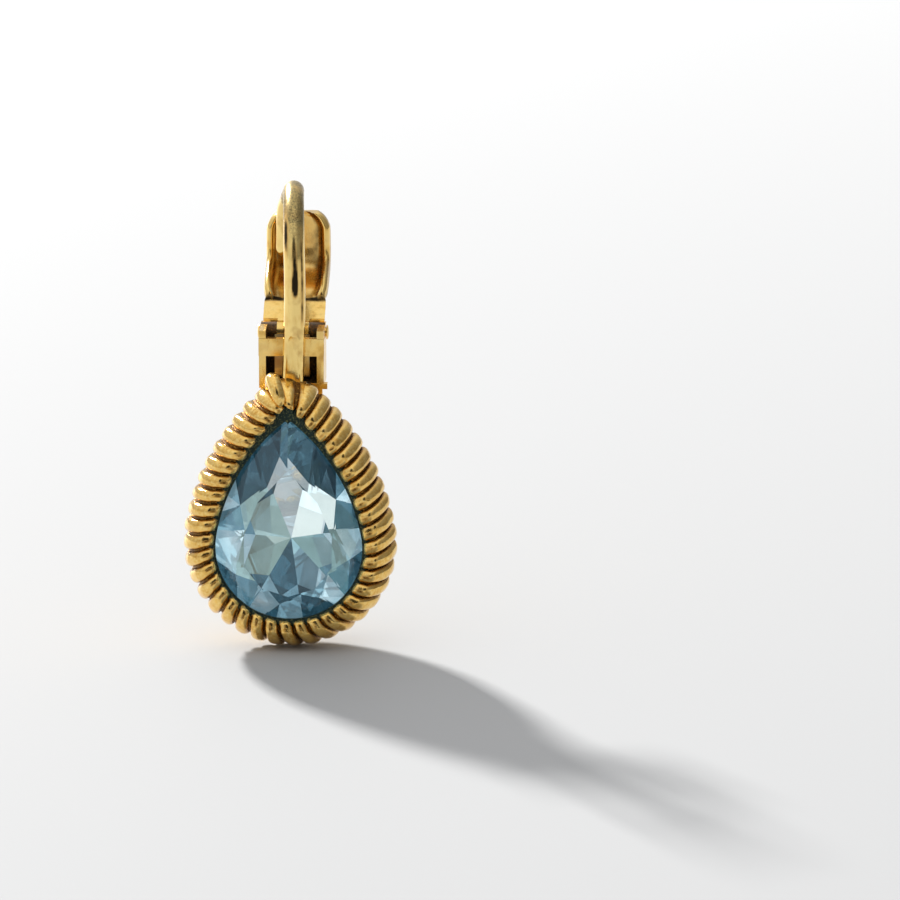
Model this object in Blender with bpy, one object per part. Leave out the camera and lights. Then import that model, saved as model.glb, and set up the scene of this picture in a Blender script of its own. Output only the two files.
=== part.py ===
"""Teardrop lever-back earring: a pear-cut stone in a coiled gold border, on an ear hook with a lever.

The origin is the crown of the hook, on the wire's axis. +Z is up, the stone faces -Y, and the
hook arches back to +Y. Sizes are in millimetres, and each mesh is scaled to metres when it is made.
"""

import math

import bmesh
import bpy
from mathutils import Matrix, Vector
from mathutils.geometry import interpolate_bezier

MM = 0.001

# Stone
STONE_WIDTH = 10.0
STONE_HEIGHT = 14.0
STONE_TIP_RADIUS = 0.75
STONE_FLANK_RADIUS = 13.8
GIRDLE_FRONT = 0.95
GIRDLE_THICKNESS = 0.15
CROWN_HEIGHT = 1.35
PAVILION_DEPTH = 4.0
TABLE_SHARE = 0.60
BREAK_SHARE = 0.12
CULET_WIDTH = 0.3
STONE_GAP = 0.13

# Border of coiled wire and the collet behind it
LIP_OVER_STONE = 0.25
BORDER_WIDTH = 2.2
BORDER_DEPTH = 3.0
RIB_COUNT = 40
RIB_DEPTH = 0.36
RIB_LEAN = 0.75
COLLET_PAST_CULET = 0.1
COLLET_WALL = 0.65

# Ear hook
WIRE_DIAMETER = 1.42
CROWN_DIAMETER = 1.34
ARCH_RADIUS = 3.9
HOOK_RISE = 11.05
LIP_TO_WIRE = 3.5
TIP_DROP = 5.25
SIDE_BEND = 0.8
FOOT_BELOW_APEX = 1.75
FLAT_HEIGHT = 2.7
FLAT_DEPTH = 0.2

# Hinge box, soldered to the back of the wire
BOX_WIDTH = 4.2
EAR_THICKNESS = 0.45
STRAP_THICKNESS = 0.45
STRAP_HEIGHT = 1.15
BASE_THICKNESS = 0.35
BASE_OVERHANG = 0.22
BASE_BELOW_PIN = 2.9
BOX_WALL = 0.27
WALL_BELOW_KNUCKLE = 0.2
BRACKET_WIDTH = 4.0
BRACKET_DROP = 1.0
SOLDER = 0.1
PLATE_BITE = 0.02
STRAP_ABOVE_PIN = 0.05

# Hinge and spring
PIN_DIAMETER = 0.6
PIN_RISE = 2.05
PIN_HEAD_DIAMETER = 0.95
PIN_HEAD_THICKNESS = 0.14
PIN_CLEARANCE = 0.07
EAR_WALL = 0.26
KNUCKLE_WALL = 0.36
KNUCKLE_WIDTH = 2.06
KNUCKLE_GAP = 0.15
BOSS_GAP = 0.12
SPRING_THICKNESS = 0.18
SPRING_WIDTH = 2.26
SPRING_GAP = 0.3
SPRING_LEAN = 0.27
SPRING_BEND = 0.25
SPRING_FOOT_SHORT = 0.4
FOOT_GAP = 0.12

# Lever
LEVER_WIDTH = 4.0
LEVER_THICKNESS = 0.4
LEVER_RIM = 0.75
LEVER_RIM_WIDTH = 0.42
LEVER_CORNER = 0.3
LEVER_TOP_DROP = 2.4
CUP_GAP = 0.3
BAND_START_REACH = 0.82
BAND_START_RISE = 0.54
BAND_REACH = 2.5
BAND_RISE = 1.55
CUP_BEND_BELOW_ARCH = 0.7
TONGUE_SLOPE = 34.0
TONGUE_BITE = 0.3

# The border's section, from the lip's inner edge over the front to the back and in along the collet.
# Inward and depth are shares of BORDER_WIDTH and BORDER_DEPTH, rib and lean of RIB_DEPTH and RIB_LEAN.
BORDER_SECTION = (
    # inward, depth, rib, lean
    (1.00, 0.125, 0.30, -0.50),
    (0.89, 0.035, 0.80, -0.42),
    (0.68, 0.000, 1.00, -0.25),
    (0.45, 0.070, 1.00, -0.05),
    (0.25, 0.210, 1.00, 0.12),
    (0.09, 0.420, 1.00, 0.30),
    (0.00, 0.680, 1.00, 0.45),
    (0.05, 0.880, 0.60, 0.50),
    (0.24, 0.980, 0.00, 0.30),
)

# Stations over one rib, from groove to groove: place along the pitch and height.
RIB_STATIONS = (
    # share of pitch, share of depth
    (-0.50, 0.00),
    (-0.30, 0.72),
    (-0.10, 0.98),
    (0.10, 0.98),
    (0.30, 0.72),
)

# Sideways bend of the hook's wire to +X, as shares of SIDE_BEND: foot at 0, crown at 1, tip at 2.
HOOK_BEND = (
    # place, bend
    (0.00, 0.12),
    (0.45, 0.36),
    (0.75, 0.25),
    (1.00, 0.00),
    (1.20, -0.12),
    (1.40, -0.48),
    (1.60, -0.88),
    (2.00, -1.00),
)

# Facets round the stone: direction from the stone's centre, in degrees from the tip.
MAIN_FACETS = (0.0, 38.0, 75.0, 110.0, 145.0, 180.0)
BREAK_FACETS = (14.0, 29.0, 49.0, 65.0, 84.0, 101.0, 119.0, 136.0, 154.0, 171.0)

# The lever's sections along its length, widths as shares of half LEVER_WIDTH, rims of LEVER_RIM.
LEVER_SECTIONS = (
    # share of length, width, rim
    (0.000, 1.00, 0.00),
    (0.170, 1.00, 0.00),
    (0.195, 0.92, 0.10),
    (0.225, 0.92, 0.30),
    (0.260, 1.04, 0.55),
    (0.360, 1.05, 0.85),
    (0.460, 1.05, 1.00),
    (0.560, 1.05, 1.00),
    (0.660, 1.05, 1.00),
    (0.760, 1.05, 1.00),
    (0.885, 1.04, 0.95),
    (0.920, 0.95, 0.88),
    (0.965, 0.82, 0.80),
    (1.000, 0.71, 0.72),
)

# Fineness of the round shapes
RISE_STEPS = 6
ARCH_STEPS = 16
BEND_STEPS = 12
OUTLINE_STEPS = 48
ROD_SIDES = 24
WIRE_SIDES = 14

# Places that follow from the sizes
BORDER_OUTSET = BORDER_WIDTH - LIP_OVER_STONE
WIRE_Y = -ARCH_RADIUS
LIP_Y = WIRE_Y - LIP_TO_WIRE
APEX_Z = -HOOK_RISE
CENTRE_Z = APEX_Z - BORDER_OUTSET - (STONE_HEIGHT - STONE_WIDTH / 2)
STRAP_FRONT_Y = WIRE_Y + WIRE_DIAMETER / 2 - SOLDER
STRAP_BACK_Y = STRAP_FRONT_Y + STRAP_THICKNESS
SPRING_Y = STRAP_BACK_Y + SPRING_GAP
KNUCKLE_RADIUS = PIN_DIAMETER / 2 + PIN_CLEARANCE + KNUCKLE_WALL
EAR_RADIUS = PIN_DIAMETER / 2 + PIN_CLEARANCE + EAR_WALL
PIN_Y = SPRING_Y + SPRING_THICKNESS + SPRING_LEAN + KNUCKLE_GAP + KNUCKLE_RADIUS
PIN_Z = APEX_Z + PIN_RISE
BASE_TOP_Z = PIN_Z - BASE_BELOW_PIN
BOX_BACK_Y = PIN_Y + EAR_RADIUS
CUP_Y = ARCH_RADIUS + CROWN_DIAMETER / 2 + CUP_GAP + LEVER_THICKNESS / 2
CULET_DEPTH = GIRDLE_FRONT + GIRDLE_THICKNESS + PAVILION_DEPTH
COLLET_BACK = CULET_DEPTH + COLLET_PAST_CULET


def clear_scene():
    for thing in list(bpy.data.objects):
        bpy.data.objects.remove(thing, do_unlink=True)


def material(name, colour, roughness, metallic, transmission=0.0):
    made = bpy.data.materials.new(name)
    made.use_nodes = True
    shader = made.node_tree.nodes["Principled BSDF"]
    shader.inputs["Base Color"].default_value = (*colour, 1.0)
    shader.inputs["Roughness"].default_value = roughness
    shader.inputs["Metallic"].default_value = metallic
    shader.inputs["Transmission Weight"].default_value = transmission
    return made


def add_object(name, bm, finish, smooth=True, origin=(0.0, 0.0, 0.0)):
    """An object of this mesh, given in millimetres about the origin of the part."""
    bmesh.ops.recalc_face_normals(bm, faces=bm.faces)
    bmesh.ops.translate(bm, verts=bm.verts, vec=-Vector(origin))
    bmesh.ops.scale(bm, verts=bm.verts, vec=(MM, MM, MM))
    mesh = bpy.data.meshes.new(name)
    bm.to_mesh(mesh)
    bm.free()
    if finish:
        mesh.materials.append(finish)
    if smooth:
        mesh.shade_smooth()
        mesh.set_sharp_from_angle(angle=math.radians(40))
    thing = bpy.data.objects.new(name, mesh)
    thing.location = Vector(origin) * MM
    bpy.context.scene.collection.objects.link(thing)
    return thing


def helper(name, bm, origin=(0.0, 0.0, 0.0)):
    """A shape that is only joined to, or cut from, another."""
    thing = add_object(name, bm, None, smooth=False, origin=origin)
    thing.hide_render = True
    thing.display_type = "WIRE"
    return thing


def combine(thing, other, operation):
    boolean = thing.modifiers.new(other.name, "BOOLEAN")
    boolean.operation = operation
    boolean.solver = "EXACT"
    boolean.object = other


def box(low, high):
    bm = bmesh.new()
    size = [b - a for a, b in zip(low, high)]
    middle = [(a + b) / 2 for a, b in zip(low, high)]
    bmesh.ops.create_cube(bm, size=1.0)
    bmesh.ops.scale(bm, verts=bm.verts, vec=size)
    bmesh.ops.translate(bm, verts=bm.verts, vec=middle)
    return bm


def rod(radius, x_from, x_to, y, z):
    """A cylinder along X."""
    bm = bmesh.new()
    turn = Matrix.Rotation(math.pi / 2, 4, "Y")
    place = Matrix.Translation(((x_from + x_to) / 2, y, z)) @ turn
    bmesh.ops.create_cone(
        bm,
        cap_ends=True,
        segments=ROD_SIDES,
        radius1=radius,
        radius2=radius,
        depth=x_to - x_from,
        matrix=place,
    )
    return bm


def loft(rings, closed=False):
    """A skin over rings of as many points each, closed on itself or capped at both ends."""
    bm = bmesh.new()
    loops = [[bm.verts.new(point) for point in ring] for ring in rings]
    count = len(loops[0])
    pairs = list(zip(loops, loops[1:]))
    if closed:
        pairs.append((loops[-1], loops[0]))
    for first, second in pairs:
        for i in range(count):
            j = (i + 1) % count
            bm.faces.new((first[i], first[j], second[j], second[i]))
    if not closed:
        bm.faces.new(reversed(loops[0]))
        bm.faces.new(loops[-1])
    return bm


def pear_arcs():
    """The stone's outline as arcs (centre x, centre z, radius, from and to angle), counter-clockwise."""
    round_radius = STONE_WIDTH / 2
    rise = STONE_HEIGHT - round_radius - STONE_TIP_RADIUS
    near = STONE_FLANK_RADIUS - round_radius
    far = STONE_FLANK_RADIUS - STONE_TIP_RADIUS
    shoulder = math.asin((far**2 - near**2 - rise**2) / (2 * rise * near))
    flank_x = -near * math.cos(shoulder)
    flank_z = -near * math.sin(shoulder)
    tip = math.atan2(rise - flank_z, -flank_x)
    half, turn = math.pi, 2 * math.pi
    return (
        (0.0, rise, STONE_TIP_RADIUS, half / 2, half - tip),
        (-flank_x, flank_z, STONE_FLANK_RADIUS, half - tip, half - shoulder),
        (0.0, 0.0, round_radius, half - shoulder, turn + shoulder),
        (flank_x, flank_z, STONE_FLANK_RADIUS, turn + shoulder, turn + tip),
        (0.0, rise, STONE_TIP_RADIUS, turn + tip, turn + half / 2),
    )


def pear_place(arcs, distance, outset_of_length):
    """The arc and angle at this distance along the outline, measured where it is set out by that much."""
    lengths = [(arc[2] + outset_of_length) * (arc[4] - arc[3]) for arc in arcs]
    left = distance % sum(lengths)
    for arc, length in zip(arcs, lengths):
        if left <= length:
            break
        left -= length
    return arc, arc[3] + left / (arc[2] + outset_of_length)


def pear_length(arcs, outset):
    return sum((arc[2] + outset) * (arc[4] - arc[3]) for arc in arcs)


def border_points():
    """The section as (outset from the stone's outline, depth behind the lip, rib share, lean share)."""
    points = []
    for inward, depth, rib, lean in BORDER_SECTION:
        points.append((BORDER_OUTSET - inward * BORDER_WIDTH, depth * BORDER_DEPTH, rib, lean))
    seat = GIRDLE_FRONT + GIRDLE_THICKNESS
    inner = -LIP_OVER_STONE
    points += [
        (inner + COLLET_WALL, BORDER_DEPTH, 0.0, 0.0),
        (inner + COLLET_WALL, COLLET_BACK, 0.0, 0.0),
        (inner, COLLET_BACK, 0.0, 0.0),
        (inner, seat + 2 * STONE_GAP + LIP_OVER_STONE, 0.0, 0.0),
        (STONE_GAP, seat + STONE_GAP, 0.0, -0.1),
        (STONE_GAP, GIRDLE_FRONT - STONE_GAP, 0.0, -0.3),
        (inner, GIRDLE_FRONT - 2.2 * STONE_GAP, 0.0, -0.5),
    ]
    return points


def section_normals(points):
    normals = []
    for i in range(len(points)):
        before, after = points[i - 1], points[(i + 1) % len(points)]
        along = Vector((after[0] - before[0], after[1] - before[1])).normalized()
        normals.append(Vector((along[1], -along[0])))
    return normals


def border_bmesh():
    arcs = pear_arcs()
    ridge = BORDER_OUTSET - BORDER_WIDTH / 2
    length = pear_length(arcs, ridge)
    pitch = length / RIB_COUNT
    section = border_points()
    normals = section_normals(section)
    rings = []
    for rib_number in range(RIB_COUNT):
        for share, height in RIB_STATIONS:
            ring = []
            for (outset, depth, rib, lean), normal in zip(section, normals):
                sunk = RIB_DEPTH * rib * (1.0 - height)
                distance = (rib_number + share) * pitch + lean * RIB_LEAN
                arc, angle = pear_place(arcs, distance, ridge)
                radius = arc[2] + outset - sunk * normal[0]
                x = arc[0] + radius * math.cos(angle)
                z = arc[1] + radius * math.sin(angle)
                ring.append((x, LIP_Y + depth - sunk * normal[1], CENTRE_Z + z))
            rings.append(ring)
    return loft(rings, closed=True)


def blend(table, share, column):
    """A table's column at this share of the length, in a straight line between its rows."""
    for low, high in zip(table, table[1:]):
        if share <= high[0]:
            part = (share - low[0]) / (high[0] - low[0])
            return low[column] + (high[column] - low[column]) * max(part, 0.0)
    return table[-1][column]


def hook_path():
    """Points of the wire's axis from its foot over the crown to the tip, and the wire's radius at each."""
    foot_z = APEX_Z - FOOT_BELOW_APEX
    end_radius = CROWN_DIAMETER / 2
    way = []
    for i in range(RISE_STEPS):
        way.append((WIRE_Y, foot_z + (-ARCH_RADIUS - foot_z) * i / RISE_STEPS, 1.0))
    for i in range(ARCH_STEPS + 1):
        angle = math.pi * (1 - i / ARCH_STEPS)
        way.append((ARCH_RADIUS * math.cos(angle), ARCH_RADIUS * (math.sin(angle) - 1), 1.0))
    for degrees in (0, 30, 55, 75):
        angle = math.radians(degrees)
        way.append((ARCH_RADIUS, -TIP_DROP + end_radius * (1 - math.sin(angle)), math.cos(angle)))
    crown = RISE_STEPS + ARCH_STEPS // 2
    gone = [0.0]
    for before, after in zip(way, way[1:]):
        gone.append(gone[-1] + math.dist(before[:2], after[:2]))
    points = []
    for i, (y, z, narrowing) in enumerate(way):
        if i <= crown:
            place = gone[i] / gone[crown]
        else:
            place = 1 + (gone[i] - gone[crown]) / (gone[-1] - gone[crown])
        diameter = WIRE_DIAMETER + (CROWN_DIAMETER - WIRE_DIAMETER) * min(place, 1.0)
        points.append(((SIDE_BEND * blend(HOOK_BEND, place, 1), y, z), narrowing * diameter / 2))
    return points


def swept_wire(points):
    """A round bar through points with a radius each, its rings square to the way in the YZ plane."""
    rings = []
    for i, (point, radius) in enumerate(points):
        before = Vector(points[max(i - 1, 0)][0])
        after = Vector(points[min(i + 1, len(points) - 1)][0])
        along = (after - before).normalized()
        across = Vector((1.0, 0.0, 0.0))
        across = (across - along * across.dot(along)).normalized()
        third = along.cross(across)
        ring = []
        for k in range(WIRE_SIDES):
            angle = 2 * math.pi * k / WIRE_SIDES
            ring.append(Vector(point) + radius * (across * math.cos(angle) + third * math.sin(angle)))
        rings.append(ring)
    return loft(rings)


def hinge_box():
    """Two ears with the pin's bore, a strap, a base, a low back wall and a bracket down to the collet."""
    half = BOX_WIDTH / 2
    bottom = BASE_TOP_Z - BASE_THICKNESS
    inside = half - PLATE_BITE
    strap_low = (-inside, STRAP_FRONT_Y, PIN_Z + STRAP_ABOVE_PIN - STRAP_HEIGHT)
    strap_high = (inside, STRAP_BACK_Y, PIN_Z + STRAP_ABOVE_PIN)
    joined = helper("hinge_strap", box(strap_low, strap_high))
    base_low = (PLATE_BITE - half, STRAP_FRONT_Y + PLATE_BITE, bottom)
    base_high = (half + BASE_OVERHANG, BOX_BACK_Y + PLATE_BITE, BASE_TOP_Z)
    combine(joined, helper("hinge_base", box(base_low, base_high)), "UNION")
    wall_low = (-inside, BOX_BACK_Y - BOX_WALL, bottom + PLATE_BITE)
    wall_high = (inside, BOX_BACK_Y - PLATE_BITE, PIN_Z - KNUCKLE_RADIUS - WALL_BELOW_KNUCKLE)
    combine(joined, helper("hinge_wall", box(wall_low, wall_high)), "UNION")
    bracket_low = (-BRACKET_WIDTH / 2, STRAP_FRONT_Y, bottom - BRACKET_DROP)
    bracket_high = (BRACKET_WIDTH / 2, STRAP_BACK_Y, bottom + BASE_THICKNESS / 2)
    combine(joined, helper("hinge_bracket", box(bracket_low, bracket_high)), "UNION")
    boss_end = KNUCKLE_WIDTH / 2 + BOSS_GAP
    for name, side in (("left", -1), ("right", 1)):
        ear_x = sorted((side * half, side * (half - EAR_THICKNESS)))
        boss_x = sorted((side * half, side * boss_end))
        ear_low = (ear_x[0], STRAP_FRONT_Y - PLATE_BITE, bottom + 2 * PLATE_BITE)
        ear_high = (ear_x[1], BOX_BACK_Y, PIN_Z)
        ear = helper(f"hinge_ear_{name}", box(ear_low, ear_high))
        boss = rod(EAR_RADIUS, *boss_x, PIN_Y, PIN_Z)
        combine(ear, helper(f"hinge_boss_{name}", boss), "UNION")
        combine(joined, ear, "UNION")
    bore = rod(PIN_DIAMETER / 2 + PIN_CLEARANCE, -BOX_WIDTH, BOX_WIDTH, PIN_Y, PIN_Z)
    combine(joined, helper("hinge_bore", bore), "DIFFERENCE")
    return joined


def setting_with_ear_hook(finish):
    """The border and collet, the hook's wire and the hinge box: one solid, because they are soldered."""
    setting = add_object("setting_with_ear_hook", border_bmesh(), finish)
    wire = helper("hook_wire", swept_wire(hook_path()))
    front_y = WIRE_Y - WIRE_DIAMETER / 2
    flat_low = (-WIRE_DIAMETER, front_y - WIRE_DIAMETER, APEX_Z + SOLDER)
    flat_high = (WIRE_DIAMETER, front_y + FLAT_DEPTH, APEX_Z + SOLDER + FLAT_HEIGHT)
    combine(wire, helper("stamp_flat", box(flat_low, flat_high)), "DIFFERENCE")
    combine(setting, wire, "UNION")
    combine(setting, hinge_box(), "UNION")


def facet_plane(arcs, degrees, girdle_depth, far_depth, far_share):
    """The point and outward normal of a facet from the girdle to the scaled outline at another depth."""
    angle = math.radians(90 + degrees) % (2 * math.pi)
    if angle < math.pi / 2:
        angle += 2 * math.pi
    for arc in arcs:
        if arc[3] <= angle <= arc[4] + 1e-9:
            break
    outward = Vector((math.cos(angle), 0.0, math.sin(angle)))
    reach = arc[0] * outward[0] + arc[1] * outward[2] + arc[2]
    run = reach * (1 - far_share)
    drop = far_depth - girdle_depth
    point = outward * reach + Vector((0.0, girdle_depth, 0.0))
    side = Vector((0.0, math.copysign(1.0, drop), 0.0))
    return point, (outward * abs(drop) + side * run).normalized()


def cut_away(bm, point, normal):
    """Cuts off what lies beyond the plane and closes the cut with one flat face."""
    found = bmesh.ops.bisect_plane(
        bm,
        geom=bm.verts[:] + bm.edges[:] + bm.faces[:],
        dist=1e-4,
        plane_co=point,
        plane_no=normal,
        clear_outer=True,
    )
    cut = [item for item in found["geom_cut"] if isinstance(item, bmesh.types.BMEdge)]
    edges = [edge for edge in cut if edge.is_boundary]
    if edges:
        bmesh.ops.contextual_create(bm, geom=edges)


def stone_bmesh():
    """A pear brilliant: a prism of the outline, with crown, table and pavilion facets cut off it."""
    arcs = pear_arcs()
    length = pear_length(arcs, 0.0)
    table, culet = GIRDLE_FRONT - CROWN_HEIGHT, CULET_DEPTH
    rings = []
    for depth in (table - CROWN_HEIGHT, culet + CROWN_HEIGHT):
        ring = []
        for i in range(OUTLINE_STEPS):
            arc, angle = pear_place(arcs, length * i / OUTLINE_STEPS, 0.0)
            ring.append((arc[0] + arc[2] * math.cos(angle), depth, arc[1] + arc[2] * math.sin(angle)))
        rings.append(ring)
    bm = loft(rings)
    girdle_back = GIRDLE_FRONT + GIRDLE_THICKNESS
    mains = sorted({sign * degrees % 360 for degrees in MAIN_FACETS for sign in (1, -1)})
    breaks = sorted({sign * degrees % 360 for degrees in BREAK_FACETS for sign in (1, -1)})
    for degrees in mains:
        cut_away(bm, *facet_plane(arcs, degrees, GIRDLE_FRONT, table, TABLE_SHARE))
        cut_away(bm, *facet_plane(arcs, degrees, girdle_back, culet, 0.0))
    for degrees in breaks:
        cut_away(bm, *facet_plane(arcs, degrees, GIRDLE_FRONT, table, TABLE_SHARE + BREAK_SHARE))
        cut_away(bm, *facet_plane(arcs, degrees, girdle_back, culet, BREAK_SHARE))
    cut_away(bm, Vector((0.0, table, 0.0)), Vector((0.0, -1.0, 0.0)))
    culet_cut = culet - CULET_WIDTH / 2 * PAVILION_DEPTH / (STONE_WIDTH / 2)
    cut_away(bm, Vector((0.0, culet_cut, 0.0)), Vector((0.0, 1.0, 0.0)))
    return bm


def stone(finish):
    bm = stone_bmesh()
    bmesh.ops.translate(bm, verts=bm.verts, vec=(0.0, LIP_Y, CENTRE_Z))
    add_object("stone", bm, finish, smooth=False, origin=(0.0, LIP_Y, CENTRE_Z))


def hinge_pin(finish):
    half = BOX_WIDTH / 2 + PIN_CLEARANCE
    pin = add_object(
        "hinge_pin",
        rod(PIN_DIAMETER / 2, -half - PLATE_BITE, half + PLATE_BITE, PIN_Y, PIN_Z),
        finish,
        origin=(0.0, PIN_Y, PIN_Z),
    )
    for name, side in (("left", -1), ("right", 1)):
        ends = sorted((side * half, side * (half + PIN_HEAD_THICKNESS)))
        head = rod(PIN_HEAD_DIAMETER / 2, *ends, PIN_Y, PIN_Z)
        combine(pin, helper(f"pin_head_{name}", head), "UNION")


def leaf_spring(finish):
    """A bent strip: a foot on the box's base, and a blade that leans on the lever's knuckle."""
    foot_z = BASE_TOP_Z + FOOT_GAP + SPRING_THICKNESS / 2
    blade_y = SPRING_Y + SPRING_THICKNESS / 2
    way = [
        (BOX_BACK_Y - SPRING_FOOT_SHORT, foot_z),
        (blade_y + SPRING_BEND, foot_z),
        (blade_y + SPRING_BEND * 0.3, foot_z + SPRING_BEND * 0.3),
        (blade_y, foot_z + SPRING_BEND),
        (blade_y, PIN_Z - KNUCKLE_RADIUS - SPRING_BEND),
        (blade_y + SPRING_LEAN, PIN_Z + STRAP_ABOVE_PIN),
    ]
    rings = []
    half = SPRING_WIDTH / 2
    for i, (y, z) in enumerate(way):
        before, after = Vector(way[max(i - 1, 0)]), Vector(way[min(i + 1, len(way) - 1)])
        along = (after - before).normalized()
        normal = Vector((-along[1], along[0])) * SPRING_THICKNESS / 2
        first = (y + normal[0], z + normal[1])
        second = (y - normal[0], z - normal[1])
        rings.append([(-half, *first), (half, *first), (half, *second), (-half, *second)])
    add_object("leaf_spring", loft(rings), finish, smooth=False)


def lever_path():
    """Points (y, z) of the lever's middle, from the band's start at the hinge to the top of its cup."""
    start = Vector((PIN_Y + BAND_START_REACH, PIN_Z + BAND_START_RISE, 0.0))
    band_end = Vector((PIN_Y + BAND_REACH, PIN_Z + BAND_RISE, 0.0))
    along = (band_end - start).normalized()
    upright = Vector((CUP_Y, -ARCH_RADIUS - CUP_BEND_BELOW_ARCH, 0.0))
    reach = (upright - band_end).length * 0.45
    handles = (band_end + along * reach, upright - Vector((0.0, reach, 0.0)))
    bend = interpolate_bezier(band_end, *handles, upright, BEND_STEPS)
    top = Vector((CUP_Y, -LEVER_TOP_DROP, 0.0))
    return [start, *bend, upright.lerp(top, 0.5), top]


def lever_section(half, rim):
    """Half widths and heights round one section, from the back's middle to the front's, on the +X side."""
    plate = LEVER_THICKNESS / 2
    corner = LEVER_CORNER
    return (
        (half - corner, -plate),
        (half - corner * 0.3, -plate * 0.5),
        (half, plate * 0.5),
        (half, plate + rim * 0.8),
        (half - LEVER_RIM_WIDTH * 0.3, plate + rim),
        (half - LEVER_RIM_WIDTH * 0.75, plate + rim * 0.95),
        (half - LEVER_RIM_WIDTH, plate + rim * 0.6),
        (half - LEVER_RIM_WIDTH * 1.35, plate + rim * 0.08),
        (half * 0.35, plate),
    )


def lever_bmesh():
    path = lever_path()
    ends = [0.0]
    for a, b in zip(path, path[1:]):
        ends.append(ends[-1] + (b - a).length)
    total = ends[-1]
    rings = []
    for share, width, rim in LEVER_SECTIONS:
        gone = share * total
        place = next(i for i in range(1, len(path)) if gone <= ends[i] + 1e-9)
        part = (gone - ends[place - 1]) / (ends[place] - ends[place - 1])
        middle = path[place - 1].lerp(path[place], part)
        low, high = path[max(place - 2, 0)], path[min(place + 1, len(path) - 1)]
        along = (high - low).normalized()
        if share <= LEVER_SECTIONS[1][0]:
            along = (path[1] - path[0]).normalized()
        front = Vector((-along[1], along[0]))
        half_points = lever_section(LEVER_WIDTH / 2 * width, LEVER_RIM * rim)
        ring = [(x, middle[0] + front[0] * n, middle[1] + front[1] * n) for x, n in half_points]
        ring += [(-x, middle[0] + front[0] * n, middle[1] + front[1] * n) for x, n in reversed(half_points)]
        rings.append(ring)
    return loft(rings)


def lever(finish):
    """The lever: a knuckle on the pin, a band, and a dished cup behind the hook's tip."""
    origin = (0.0, PIN_Y, PIN_Z)
    piece = add_object("lever", lever_bmesh(), finish, origin=origin)
    half = KNUCKLE_WIDTH / 2
    knuckle = helper("knuckle", rod(KNUCKLE_RADIUS, -half, half, PIN_Y, PIN_Z), origin)
    tongue_end = PIN_Y + KNUCKLE_RADIUS * math.sqrt(2) + TONGUE_BITE
    tongue_low = (-half, PIN_Y, PIN_Z - LEVER_THICKNESS * 0.5)
    tongue_high = (half, tongue_end, PIN_Z + LEVER_THICKNESS * 0.75)
    tongue_mesh = box(tongue_low, tongue_high)
    turn = Matrix.Rotation(math.radians(TONGUE_SLOPE), 3, "X")
    bmesh.ops.rotate(tongue_mesh, cent=origin, matrix=turn, verts=tongue_mesh.verts)
    tongue = helper("knuckle_tongue", tongue_mesh, origin)
    combine(knuckle, tongue, "UNION")
    bore = rod(PIN_DIAMETER / 2 + PIN_CLEARANCE, -LEVER_WIDTH, LEVER_WIDTH, PIN_Y, PIN_Z)
    combine(knuckle, helper("knuckle_bore", bore, origin), "DIFFERENCE")
    combine(piece, knuckle, "UNION")


def build():
    clear_scene()
    setting_with_ear_hook(material("antiqued_gold", (0.80, 0.52, 0.19), 0.28, 1.0))
    stone(material("aqua_crystal", (0.72, 0.84, 0.87), 0.02, 0.0, transmission=1.0))
    hinge_pin(material("pin_gold", (0.78, 0.52, 0.22), 0.32, 1.0))
    leaf_spring(material("spring_gold", (0.70, 0.45, 0.18), 0.35, 1.0))
    lever(material("lever_gold", (0.82, 0.56, 0.24), 0.25, 1.0))


build()
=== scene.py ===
"""The looks of the teardrop lever-back earring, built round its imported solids.

Sizes are in millimetres and each mesh is scaled to metres when it is made. The origin is the crown
of the hook, +Z is up, and the stone faces -Y.
"""

import math
import random

import bmesh
import bpy
from mathutils import Matrix, Vector, noise
from mathutils.geometry import interpolate_bezier


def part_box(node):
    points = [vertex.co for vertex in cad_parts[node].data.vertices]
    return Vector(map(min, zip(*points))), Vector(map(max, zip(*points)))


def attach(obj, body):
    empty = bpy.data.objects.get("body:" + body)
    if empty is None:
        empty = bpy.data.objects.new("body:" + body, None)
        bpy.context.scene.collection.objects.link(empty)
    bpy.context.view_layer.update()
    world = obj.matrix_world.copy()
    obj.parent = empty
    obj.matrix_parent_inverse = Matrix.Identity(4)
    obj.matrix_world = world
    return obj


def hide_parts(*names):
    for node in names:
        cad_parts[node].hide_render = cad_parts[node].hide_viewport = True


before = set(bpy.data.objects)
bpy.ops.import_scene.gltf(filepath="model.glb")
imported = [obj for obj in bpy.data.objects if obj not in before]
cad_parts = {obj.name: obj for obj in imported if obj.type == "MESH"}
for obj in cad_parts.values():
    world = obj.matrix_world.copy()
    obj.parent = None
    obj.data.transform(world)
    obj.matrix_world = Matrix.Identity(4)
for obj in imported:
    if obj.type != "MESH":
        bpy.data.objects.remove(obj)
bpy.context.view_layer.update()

MM = 0.001
SHARP_EDGE = 30.0
ROD_SIDES = 64

# Places read from the solids
STONE_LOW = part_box("stone")[0] / MM
SETTING_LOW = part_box("setting_with_ear_hook")[0] / MM
PIN_LOW, PIN_HIGH = (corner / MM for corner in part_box("hinge_pin"))

# Stone
STONE_WIDTH = 10.0
STONE_HEIGHT = 14.0
STONE_TIP_RADIUS = 0.75
STONE_FLANK_RADIUS = 13.8
GIRDLE_FRONT = 0.95
GIRDLE_THICKNESS = 0.15
CROWN_HEIGHT = 1.35
PAVILION_DEPTH = 4.0
TABLE_SHARE = 0.60
STONE_GAP = 0.13

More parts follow.
